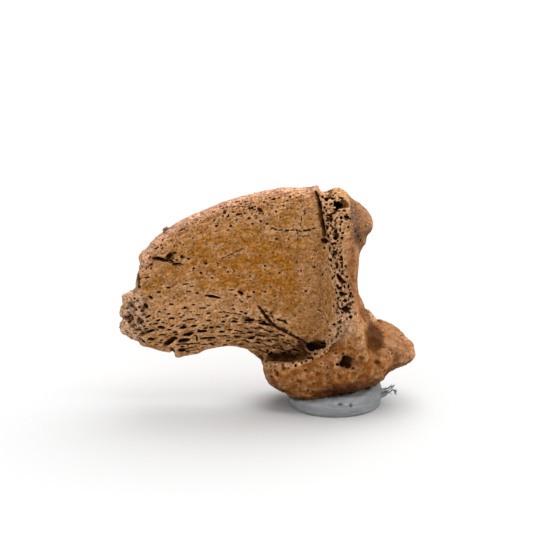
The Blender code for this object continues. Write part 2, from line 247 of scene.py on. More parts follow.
def calc(tree, operation, *values, clamp=False):
    return addNode(tree, "ShaderNodeMath", dict(enumerate(values)), operation=operation, use_clamp=clamp).outputs[0]


def vectorCalc(tree, operation, *values):
    return addNode(tree, "ShaderNodeVectorMath", dict(enumerate(values)), operation=operation).outputs["Vector"]


def scaled(tree, vector, factor):
    return addNode(tree, "ShaderNodeVectorMath", {0: vector, "Scale": factor}, operation="SCALE").outputs["Vector"]


def perSize(tree, size):  # a texture's scale from the size of its lumps in mm
    return calc(tree, "DIVIDE", 1.0 / mm, size)


def noiseAt(tree, place, size, **more):
    return addNode(tree, "ShaderNodeTexNoise", {"Vector": place, "Scale": perSize(tree, size), **more}).outputs


def aroundMiddle(tree, noise):
    return calc(tree, "SUBTRACT", noise[0], 0.5)


def strayWay(tree, noise):  # a direction from the noise's colour
    return vectorCalc(tree, "SUBTRACT", noise["Color"], (0.5, 0.5, 0.5))


def useTree(obj, tree, **values):  # inputs are set by identifier before the object is evaluated
    modifier = obj.modifiers.new(tree.name, "NODES")
    modifier.node_group = tree
    for item in tree.interface.items_tree:
        if item.item_type == "SOCKET" and item.in_out == "INPUT" and item.name in values:
            modifier[item.identifier] = values[item.name]


textureSetup = {
    "waveGain": 2.0,  # noise around its middle of 0.5, brought to about -1 to 1
    "grainRoughness": 0.62,
    "speckLeast": 0.55,  # the smallest speck's share of the radius
    "speckEdge": 2.5,  # how sharply a speck ends
    "cellSmoothness": 0.25,
    "cellMiddle": 0.45,  # distance from a cell's centre where its lump ends
    "cellGain": 1.6,
}


# Shader groups that the bone and the putty share, with sizes in mm
def makeGrainGroup():  # fine unevenness of tone and height
    s = textureSetup
    inputs = {"Vector": "Vector", "Size": 0.3, "Contrast": 0.2, "Detail": 4.0}
    tree, given, out = newTree("surfaceGrain", "ShaderNodeTree", inputs, {"Tone": "Float", "Height": "Float"})
    noise = noiseAt(tree, given["Vector"], given["Size"], Detail=given["Detail"], Roughness=s["grainRoughness"])
    lean = calc(tree, "MULTIPLY", aroundMiddle(tree, noise), given["Contrast"])
    tree.links.new(calc(tree, "ADD", 1.0, calc(tree, "MULTIPLY", lean, s["waveGain"])), out["Tone"])
    tree.links.new(noise[0], out["Height"])
    return tree


def makeStainGroup():  # soft-edged patches, more or fewer by the amount
    inputs = {"Vector": "Vector", "Size": 2.0, "Amount": 0.5, "Edge": 0.12}
    tree, given, out = newTree("stainPatches", "ShaderNodeTree", inputs, {"Mask": "Float"})
    noise = noiseAt(tree, given["Vector"], given["Size"], Detail=5.0, Roughness=0.6, Distortion=0.3)
    level = calc(tree, "ADD", noise[0], calc(tree, "SUBTRACT", given["Amount"], 1.0))
    mask = calc(tree, "ADD", calc(tree, "DIVIDE", level, given["Edge"]), 0.5, clamp=True)
    tree.links.new(mask, out["Mask"])
    return tree


def makeSpeckGroup():  # pin-prick pores and dots
    s = textureSetup
    inputs = {"Vector": "Vector", "Spacing": 0.6, "Radius": 0.2, "Share": 0.5}
    tree, given, out = newTree("pinSpecks", "ShaderNodeTree", inputs, {"Mask": "Float"})
    where = {"Vector": given["Vector"], "Scale": perSize(tree, given["Spacing"]), "Randomness": 1.0}
    cells = addNode(tree, "ShaderNodeTexVoronoi", where, feature="F1")
    pick = addNode(tree, "ShaderNodeSeparateColor", {"Color": cells.outputs["Color"]})
    chosen = calc(tree, "LESS_THAN", pick.outputs[0], given["Share"])
    reach = calc(tree, "MULTIPLY", given["Radius"], calc(tree, "ADD", s["speckLeast"], pick.outputs[1]))
    dot = calc(tree, "DIVIDE", calc(tree, "SUBTRACT", reach, cells.outputs["Distance"]), reach)
    dot = calc(tree, "MULTIPLY", dot, s["speckEdge"], clamp=True)
    tree.links.new(calc(tree, "MULTIPLY", dot, chosen), out["Mask"])
    return tree


grainGroup, stainGroup, speckGroup = makeGrainGroup(), makeStainGroup(), makeSpeckGroup()


class Finish:  # a material's tree, with the calls that build a colour up in layers
    def __init__(self, name, looks, colour):
        self.material = bpy.data.materials.new(name)
        self.material.use_nodes = True
        self.tree = self.material.node_tree
        self.shader = self.tree.nodes["Principled BSDF"]
        self.shader.inputs["Roughness"].default_value = looks["roughness"]
        self.shader.inputs["Specular IOR Level"].default_value = looks["specular"]
        self.place = addNode(self.tree, "ShaderNodeTexCoord").outputs["Object"]
        self.colour = colour

    def group(self, group, output, shift=0.0, stretch=(1, 1, 1), along=False, **inputs):
        place = self.place
        if along:  # measured along the grain
            place = addNode(self.tree, "ShaderNodeAttribute", attribute_name="grainPlace").outputs["Vector"]
        moved = {"Vector": place, "Location": (shift, 0, 0), "Scale": stretch}
        inputs["Vector"] = addNode(self.tree, "ShaderNodeMapping", moved).outputs[0]
        return addNode(self.tree, "ShaderNodeGroup", inputs, node_tree=group).outputs[output]

    def mask(self, name):
        return addNode(self.tree, "ShaderNodeAttribute", attribute_name=name).outputs["Fac"]

    def times(self, *values):
        result = values[0]
        for value in values[1:]:
            result = calc(self.tree, "MULTIPLY", result, value, clamp=True)
        return result

    def between(self, mask, low, high):  # low where the mask is 0, high where it is 1
        return calc(self.tree, "MULTIPLY_ADD", mask, high - low, low)

    def ramp(self, mask, low, high, most):
        edges = {"Value": mask, "From Min": low, "From Max": high, "To Max": most}
        return addNode(self.tree, "ShaderNodeMapRange", edges).outputs[0]

    def layer(self, colour, amount, blend="MIX"):
        node = addNode(self.tree, "ShaderNodeMix", data_type="RGBA", blend_type=blend)
        for socket, value in zip(enabled(node.inputs), (amount, self.colour, colour)):
            feed(self.tree, socket, (*value, 1.0) if isinstance(value, tuple) else value)
        self.colour = enabled(node.outputs)[0]

    def close(self, height, distance):
        bump = addNode(self.tree, "ShaderNodeBump", {"Height": height, "Distance": distance * mm, "Strength": 1.0})
        self.tree.links.new(bump.outputs[0], self.shader.inputs["Normal"])
        self.tree.links.new(self.colour, self.shader.inputs["Base Color"])
        return self.material


# Geometry Nodes trees for relief, for the places of pores and for what is cut or set there
def named(tree, name, kind="FLOAT"):
    return enabled(addNode(tree, "GeometryNodeInputNamedAttribute", {"Name": name}, data_type=kind).outputs)[0]


def closeTree(tree, given, out, geometry, offset):  # moves the points, then sets the material
    moved = addNode(tree, "GeometryNodeSetPosition", {"Geometry": geometry, "Offset": offset})
    painted = addNode(tree, "GeometryNodeSetMaterial", {"Geometry": moved.outputs[0], "Material": given["Material"]})
    tree.links.new(painted.outputs[0], out["Geometry"])
    return tree


def makeReliefTree():  # waves or cells that push the surface out, and a drift in the surface
    s = textureSetup
    inputs = {
        "Geometry": "Geometry", "Mask": "String", "Size": 1.0, "Height": 0.1, "Detail": 2.0, "Cells": 0.0,
        "Stretch": (1.0, 1.0, 1.0), "Shift": 0.0, "Along Grain": 0.0, "Sideways": 0.0, "Material": "Material",
    }
    tree, given, out = newTree("surfaceRelief", "GeometryNodeTree", inputs, {"Geometry": "Geometry"})
    choice = addNode(tree, "ShaderNodeMix", {"Factor": given["Along Grain"]}, data_type="VECTOR")
    ends = enabled(choice.inputs)
    tree.links.new(tree.nodes.new("GeometryNodeInputPosition").outputs[0], ends[1])
    tree.links.new(named(tree, "grainPlace", "FLOAT_VECTOR"), ends[2])
    place = vectorCalc(tree, "MULTIPLY", enabled(choice.outputs)[0], given["Stretch"])
    place = vectorCalc(tree, "ADD", place, given["Shift"])
    noise = noiseAt(tree, place, given["Size"], Detail=given["Detail"])
    cellInputs = {"Vector": place, "Scale": perSize(tree, given["Size"]), "Smoothness": s["cellSmoothness"]}
    cells = addNode(tree, "ShaderNodeTexVoronoi", cellInputs, feature="SMOOTH_F1")
    waves = calc(tree, "MULTIPLY", aroundMiddle(tree, noise), s["waveGain"])
    inside = calc(tree, "SUBTRACT", s["cellMiddle"], cells.outputs["Distance"])
    lumps = calc(tree, "MULTIPLY", inside, s["cellGain"])
    blend = addNode(tree, "ShaderNodeMix", {"Factor": given["Cells"], "A": waves, "B": lumps})
    mask = named(tree, given["Mask"])
    push = calc(tree, "MULTIPLY", blend.outputs[0], calc(tree, "MULTIPLY", given["Height"], mm))
    push = calc(tree, "MULTIPLY", push, mask)
    normal = tree.nodes.new("GeometryNodeInputNormal").outputs[0]
    stray = vectorCalc(tree, "CROSS_PRODUCT", strayWay(tree, noise), normal)
    stray = vectorCalc(tree, "CROSS_PRODUCT", normal, stray)
    drift = calc(tree, "MULTIPLY", calc(tree, "MULTIPLY", given["Sideways"], s["waveGain"] * mm), mask)
    offset = vectorCalc(tree, "ADD", scaled(tree, normal, push), scaled(tree, stray, drift))
    return closeTree(tree, given, out, given["Geometry"], offset)


def makeSpotTree():  # scattered places, kept apart, denser where the mask is strong
    inputs = {"Geometry": "Geometry", "Mask": "String", "Spacing": 1.0, "Density": 1.0, "Seed": 0}
    tree, given, out = newTree("poreSpots", "GeometryNodeTree", inputs, {"Geometry": "Geometry"})
    scatter = {
        "Mesh": given["Geometry"],
        "Distance Min": calc(tree, "MULTIPLY", given["Spacing"], mm),
        "Density Max": calc(tree, "DIVIDE", given["Density"], mm * mm),
        "Density Factor": named(tree, given["Mask"]),
        "Seed": given["Seed"],
    }
    spots = addNode(tree, "GeometryNodeDistributePointsOnFaces", scatter, distribute_method="POISSON").outputs
    store = {"Geometry": spots["Points"], "Name": "spotNormal"}
    stored = addNode(tree, "GeometryNodeStoreNamedAttribute", store, data_type="FLOAT_VECTOR", domain="POINT")
    tree.links.new(spots["Normal"], [s for s in enabled(stored.inputs) if s.name == "Value"][0])
    vertices = addNode(tree, "GeometryNodePointsToVertices", {"Points": stored.outputs[0]})
    tree.links.new(vertices.outputs[0], out["Geometry"])
    return tree


def makeSetOnSpotsTree():  # a rounded body at each vertex, turned and sized by its attributes
    inputs = {"Geometry": "Geometry", "Facets": 1, "Unevenness": 0.0, "Uneven Size": 0.3, "Material": "Material"}
    tree, given, out = newTree("bodiesOnSpots", "GeometryNodeTree", inputs, {"Geometry": "Geometry"})
    normal, flow, size = (named(tree, name, "FLOAT_VECTOR") for name in ("spotNormal", "spotFlow", "spotSize"))
    axes = {"Primary Axis": normal, "Secondary Axis": flow}
    turn = addNode(tree, "FunctionNodeAxesToRotation", axes, primary_axis="Z", secondary_axis="X")
    ball = addNode(tree, "GeometryNodeMeshIcoSphere", {"Radius": 1.0, "Subdivisions": given["Facets"]})
    setting = {"Points": given["Geometry"], "Instance": ball.outputs[0], "Rotation": turn.outputs[0], "Scale": size}
    placed = addNode(tree, "GeometryNodeInstanceOnPoints", setting)
    real = addNode(tree, "GeometryNodeRealizeInstances", {"Geometry": placed.outputs[0]})
    place = tree.nodes.new("GeometryNodeInputPosition").outputs[0]
    stray = strayWay(tree, noiseAt(tree, place, given["Uneven Size"]))
    stray = scaled(tree, stray, calc(tree, "MULTIPLY", given["Unevenness"], mm))
    return closeTree(tree, given, out, real.outputs[0], stray)


reliefTree, spotTree, setTree = makeReliefTree(), makeSpotTree(), makeSetOnSpotsTree()

# Bone: where each kind of surface lies, in pixels of the photograph. Lines are given by their corners, ovals
# by x, y, half width, half height and their turn in degrees, where they have one.
boneRegions = {
    "dorsalEdge": [
        (139, 264), (143, 253), (152, 242), (163, 231), (181, 220), (201, 210), (231, 199), (262, 190), (280, 186),
        (318, 187),
    ],
    "slitTop": [(112, 300), (150, 306), (180, 307), (215, 303), (245, 306), (262, 318), (285, 332), (310, 350)],
    "fibreTop": [(225, 322), (250, 316), (270, 326), (300, 341), (312, 352)],
    "break": [
        (331, 190), (332, 205), (337, 218), (335, 232), (334, 246), (336, 262), (339, 276), (343, 290), (344, 304),
        (342, 318), (336, 334), (322, 350), (306, 360), (290, 365), (266, 366),
    ],
    "breakHalf": [10, 10, 11, 8, 6.5, 8, 9, 8.5, 8.5, 8, 5.5, 4.5, 3.5, 3, 2],
    "ledge": [
        (250, 368), (266, 366), (292, 364), (312, 360), (323, 354), (334, 345), (345, 333), (352, 318), (368, 306),
    ],
    "lowEdge": [(110, 345), (170, 352), (225, 347), (250, 350), (270, 362), (330, 350)],
    "tip": (123, 317, 25, 33),
    "collateral": (375, 339, 9, 14, 10),
    "openEdge": (325.5, 192, 7, 5.5),  # where a hollow in the outline isn't a pore
    "uprightCorners": 12,  # of the break
    "ledgeFrom": 250,
    "underFrom": 255,
    "jointAbove": 345,
}
spotSoftness = 0.6
boneSpots = {  # masks made of ovals alone
    "grit": [(347, 312, 9, 22, 10), (340, 330, 8, 12, -30)],
    "crust": [
        (157, 259, 6, 2.6, -4), (165, 259.6, 8, 2.8, 4), (170.5, 256, 4.5, 4.5, 30), (174, 253, 3, 2.2, 20),
        (171, 262, 4, 2, -30), (178, 264.6, 7, 2, 4), (138.6, 280, 1.6, 9, 5), (165.6, 229.2, 3.4, 2.6, 35),
    ],
    "mottle": [(357, 236, 5.5, 9, 10), (353, 214, 4, 9)],
    "ochre": [
        (232, 262, 46, 24, 8), (272, 256, 22, 22), (200, 250, 40, 16, 25), (262, 280, 40, 14),
        (212, 240, 30, 14, 20),
    ],
    "lip": [(353, 266, 5.5, 42, 2), (366, 318, 4, 14, 25)],
    "slate": [(353.4, 212, 2.2, 18, 8), (369, 318, 1.6, 12, 22), (356, 232, 3, 7, 10)],
    "redHole": [(348.5, 361.5, 6, 8)],
    "fair": [(313, 290, 13, 52), (160, 302, 22, 10), (200, 312, 60, 18)],
    "crestBowl": [(346.6, 203.2, 5.5, 7)],
    "slotShade": [(319.6, 212, 22, 3.6, -77), (324, 240.5, 6, 4)],
    "wing": [(397, 344, 20, 16, -35)],
    "upper": [(222, 217, 30, 11, 25), (256, 209, 30, 15, 5), (292, 203, 20, 10)],
    # holes: where the painted shade in the large openings is deepened
    "holes": [(318, 346.5, 13, 8, -12), (346, 361, 9, 9.5), (338.5, 205, 6.5, 6), (324.5, 240.5, 4.5, 2.6)],
    "trough": [(289, 357, 23, 5, 3)],
    "extensor": [(362, 222, 11, 24)],
    "red": [(338, 390, 20, 6, 15), (303, 344, 6, 6), (348, 362, 6, 6)],
}

# How the bone's grain runs: x, y in pixels and the rise to the right in degrees
flowHints = [
    (146, 258, 52), (158, 242, 44), (175, 228, 34), (200, 215, 27), (230, 205, 20), (262, 197, 14), (300, 196, -2),
    (165, 262, 25), (190, 250, 22), (225, 245, 16), (262, 235, 8), (300, 230, 0), (160, 292, 10), (200, 290, 0),
    (240, 290, -12), (280, 285, -8), (310, 280, 60), (150, 331, 16), (170, 340, 22), (160, 320, 14), (188, 334, 12),
    (205, 333, 5), (225, 333, 3), (190, 318, 9), (222, 318, -2), (250, 320, -6), (250, 336, -4), (268, 338, -12),
    (285, 342, -18), (300, 348, -20), (268, 318, -40), (290, 325, -20), (320, 312, -12), (320, 325, -25),
    (180, 350, 9), (130, 335, -30), (126, 305, 60), (300, 380, 5), (340, 375, 15), (380, 350, -35), (350, 270, 85),
]


def fillPath(px, path):  # the path's height in the photograph at each px
    return np.interp(px, [p[0] for p in path], [p[1] for p in path])


# Where the masks set in and are full, in pixels unless a note says otherwise
maskEnds = {
    "broken": (0.8, 1.25),  # of the break's half width
    "spongyEnd": (8.4, 9.6),  # stretches along the break
    "belowLedge": (-2, 3),
    "behindBlade": (346, 352),
    "blade": (-2, 4),
    "bladeFoot": (-4, 0),
    "band": (10, 22),
    "edge": (2, 13),
    "slits": (-4, 14),
    "fibres": (-2, 6),
    "fibresStart": (224, 250),
    "jointFacing": (0.35, 0.75),  # of the normal
    "jointStart": (11.8, 12.8),  # mm
    "under": (0.1, 0.75),  # of the normal: faces that look down, for painted shade and for relief
    "low": (325, 375),
}


maskLoss = {"spongy": 0.85, "slits": 0.6, "base": 0.85}  # the share of a mask that another one takes away


def fade(value, name):
    return softStep(value, *maskEnds[name])


def largest(px, py, ovals, soft):
    return np.max([ovalMask(px, py, oval, soft) for oval in ovals], axis=0)


def boneMasks(points, normals):
    px, py = toPhoto(points)
    r = boneRegions
    masks = {}
    dorsal, _ = nearPath(px, py, r["dorsalEdge"])
    inBreak, along = nearPath(px, py, r["break"])
    half = np.interp(along, range(len(r["breakHalf"])), r["breakHalf"])
    masks["broken"] = 1.0 - fade(inBreak / half, "broken")
    masks["spongy"] = masks["broken"] * (1.0 - maskLoss["spongy"] * fade(along, "spongyEnd"))
    belowLedge = py - fillPath(px, r["ledge"])
    onLedge = px > r["ledgeFrom"]
    upright = r["break"][: r["uprightCorners"]]
    breakLine = np.interp(py, [p[1] for p in upright], [p[0] for p in upright])
    base = np.maximum(fade(belowLedge, "belowLedge") * onLedge, fade(px, "behindBlade"))
    blade = 1.0 - fade(px - breakLine, "blade")
    blade = blade * (1.0 - fade(belowLedge, "bladeFoot") * onLedge)
    masks["tip"] = ovalMask(px, py, r["tip"], 0.3)
    masks["band"] = (1.0 - fade(dorsal, "band")) * blade * (1.0 - masks["broken"])
    masks["edge"] = (1.0 - fade(dorsal, "edge")) * blade
    masks["slits"] = fade(py - fillPath(px, r["slitTop"]), "slits") * blade
    masks["slits"] = masks["slits"] * (1 - maskLoss["slits"] * masks["tip"])
    masks["fibres"] = fade(py - fillPath(px, r["fibreTop"]), "fibres") * blade * fade(px, "fibresStart")
    masks["plain"] = blade * (1 - masks["band"]) * (1 - masks["slits"]) * (1 - masks["tip"])
    masks["base"] = base * (1.0 - masks["broken"])
    joint = fade(normals[:, 0], "jointFacing") * fade(points[:, 0] / mm, "jointStart")
    masks["joint"] = joint * (py < r["jointAbove"])
    masks["base"] = masks["base"] * (1.0 - maskLoss["base"] * masks["joint"])
    masks["under"] = fade(-normals[:, 2], "under") * (px > r["underFrom"])
    masks["low"] = masks["base"] * fade(py, "low")
    masks["fossa"] = ovalMask(px, py, r["collateral"], 0.4)
    for name, ovals in boneSpots.items():
        masks[name] = largest(px, py, ovals, spotSoftness)
    masks["whole"] = np.ones(len(points))
    return masks


flowReach = {"soften": 3.0, "falloff": 4}  # pixels, power


def flowAngle(px, py):
    total, weights = np.zeros(px.shape), np.zeros(px.shape)
    for x, y, angle in flowHints:
        weight = 1.0 / (np.hypot(px - x, py - y) + flowReach["soften"]) ** flowReach["falloff"]
        total += math.radians(angle) * weight
        weights += weight
    return total / weights


def grainCoordinates(points):  # a place measured along and across the grain, for streaked patterns
    px, py = toPhoto(points)
    fromTop, _ = nearPath(px, py, boneRegions["dorsalEdge"])
    across = (fromTop - np.abs(py - fillPath(px, boneRegions["lowEdge"]))) * 0.5 * pixel
    return np.stack([px * pixel, across, np.abs(points[:, 1]) / mm], axis=1) * mm


def storeMasks(mesh):
    points, normals = placesAndNormals(mesh)
    for name, values in boneMasks(points, normals).items():
        setAttribute(mesh, name, values)
    setAttribute(mesh, "grainPlace", grainCoordinates(points))


# The claw bone's form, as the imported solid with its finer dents, lumps and relief
boneForm = {
    "voxel": 0.2,  # mm
    "softening": 3,
    "mostTriangles": 196000,
    "thinnedTo": 194000,
    "sharpAngle": 52,  # degrees
    "fillSoftness": 0.25,
    "smoothSoftness": 0.5,
    "dentSoftness": 0.9,  # where a dent gives none of its own
    "dents": [  # x, y, half width, half height, turn in pixels and degrees, lift in mm, softness
        (279, 189, 14, 4.5, 8, 0.18), (325.6, 190, 6.6, 9, 0, -0.6, 0.12), (337.5, 189, 5, 4, 0, 0.3),
        (315.5, 190, 3.5, 4, 0, 0.25, 0.4), (165.6, 229.5, 3, 2.2, 35, 0.35, 0.3), (140, 257, 3.5, 4, 0, 0.4),
        (139, 284, 3, 8, 0, 0.2), (130, 297, 5, 5, 20, 0.2), (121, 314, 3, 5, 0, 0.2), (124.5, 310, 4, 5.5, 0, 0.1),
        (118, 310, 3, 7, 0, -0.3), (125, 327, 4.5, 6, -15, 0.3), (132, 334, 6, 4, -20, 0.3),
        (121, 303.5, 3, 1.5, -30, -0.45), (121, 319, 4, 1.5, 20, -0.5), (139, 299, 3.5, 5, 20, 0.3),
        (139, 312, 4, 5, 0, 0.3), (138, 324, 4, 3.5, 0, 0.3), (148, 317, 5, 3.5, 20, 0.2),
        (186, 353.5, 12, 2.6, 9, 0.4), (172.6, 352.4, 2.4, 4, 20, -0.5, 0.4), (393, 326, 3, 2.5, 0, 0.12),
        (377, 379, 7, 5, 0, 0.1), (300, 399, 30, 4, 0, 0.22), (346, 195, 4, 4, -30, 0.1),
        (371.5, 317.5, 6, 8, -30, 0.5), (413, 355, 4, 7, 0, 0.35), (134, 342, 14, 4, -30, -0.3),
        (371.5, 224, 3, 4, 0, 0.12), (369.5, 237, 4, 6, 30, -0.4), (357.5, 236, 3, 8, 10, -0.25),
        (353, 285, 9, 22, 5, -0.25), (375, 338, 7, 9, 10, -0.45), (371, 330, 5, 4, 30, -0.3),
        (368.5, 316, 1.6, 7, -16, 0.14), (283, 358, 16, 3.5, 3, -0.5), (320, 290, 8, 45, 2, 0.2),
        (268, 318, 2.5, 14, -40, -0.2), (276, 363, 10, 1.8, 0, 0.3), (296, 362.5, 12, 1.8, 6, 0.3),
        (315, 355.5, 10, 1.8, 24, 0.3), (331, 346, 9, 1.8, 48, 0.3), (343, 330, 8, 2, 62, 0.25),
        (265.5, 364.5, 2.2, 2.5, 0, -0.3), (285, 386, 6, 4, 30, 0.2), (300, 377, 7, 4, 10, 0.18),
        (321, 386, 7, 3.5, 10, -0.2), (322, 372, 8, 4, 0, 0.18),
    ],
    "filled": [  # rounds, then the ovals where the solid's hollows are spanned before finer ones are cut
        (200, [(346.5, 361, 11, 11), (360, 217, 9, 21, -6), (400, 344, 14, 10, -32), (324.6, 240.5, 6, 4),
               (318, 346.5, 14, 9, -12)]),
        (50, [(205, 322, 86, 34, 4), (262, 210, 9, 7), (137, 312, 22, 28)]),
    ],
    "smoothed": [(376, 338, 16, 20), (320, 300, 14, 60), (318, 342, 15, 9)],
    "smoothingRounds": 30,
    "relief": [  # mask, size, height, detail, share of cells, shift
        ("whole", 3.4, 0.10, 1.0, 0.0, 3.0),
        ("base", 1.7, 0.30, 2.5, 0.2, 11.0),
        ("base", 0.8, 0.18, 2.0, 0.5, 12.0),
        ("low", 0.6, 0.12, 2.0, 0.4, 17.0),
        ("trough", 0.8, 0.35, 2.0, 0.5, 19.0),
        ("under", 1.1, 0.14, 2.0, 0.2, 5.0),
        ("band", 0.9, 0.12, 3.0, 0.0, 7.0),
        ("slits", 0.8, 0.12, 3.0, 0.0, 9.0),
        ("broken", 0.8, 0.42, 2.5, 0.45, 2.0),
        ("tip", 1.0, 0.42, 1.5, 0.9, 4.0),
        ("tip", 0.5, 0.28, 2.0, 0.7, 14.0),
        ("crust", 0.5, 0.22, 2.0, 0.3, 6.0),
        ("joint", 0.8, 0.04, 3.0, 0.0, 8.0),
        ("grit", 0.5, 0.2, 3.0, 0.5, 15.0),
    ],
    # mask, size, reach, shift
    "drift": [("slits", 1.3, 0.4, 1.0), ("slits", 0.6, 0.16, 4.0), ("broken", 0.7, 0.2, 6.0)],
    "streaks": [  # mask, size, height, stretch along, across and through the grain, shift
        ("plain", 0.55, 0.10, (0.4, 1.0, 1.0), 21.0),
        ("band", 0.5, 0.20, (0.35, 1.0, 1.0), 22.0),
        ("slits", 0.5, 0.18, (0.3, 1.0, 1.0), 23.0),
        ("fibres", 0.42, 0.30, (0.16, 1.0, 1.0), 24.0),
    ],
}


def addRelief(obj, material, columns, rows, **fixed):  # the columns are the tree's inputs
    for row in rows:
        useTree(obj, reliefTree, Material=material, **fixed, **dict(zip(columns, row)))


def makeBoneForm(material):
    form = boneForm
    bone = roughCopy("clawBone", "claw_bone", form["voxel"], form["softening"])
    mesh = bone.data
    points, normals = placesAndNormals(mesh)
    px, py = toPhoto(points)
    for rounds, ovals in form["filled"]:
        points += (fillHollows(mesh, rounds) - points) * largest(px, py, ovals, form["fillSoftness"])[:, None]
    calm = averageOverNeighbours(mesh, points, form["smoothingRounds"])
    points += (calm - points) * largest(px, py, form["smoothed"], form["smoothSoftness"])[:, None]
    lift = np.zeros(len(points))
    for dent in form["dents"]:
        *oval, height, soft = (*dent, form["dentSoftness"])[:7]
        lift += ovalMask(px, py, oval, soft) * height
    points += normals * lift[:, None] * mm
    movePoints(mesh, points)
    storeMasks(mesh)
    addRelief(bone, material, ("Mask", "Size", "Sideways", "Shift"), form["drift"], Height=0.0)
    addRelief(bone, material, ("Mask", "Size", "Height", "Detail", "Cells", "Shift"), form["relief"])
    streaked = {"Detail": 2.5, "Along Grain": 1.0}
    addRelief(bone, material, ("Mask", "Size", "Height", "Stretch", "Shift"), form["streaks"], **streaked)
    applyModifiers(bone)
    print("bone form:", triangles(bone.data), "triangles")
    return bone
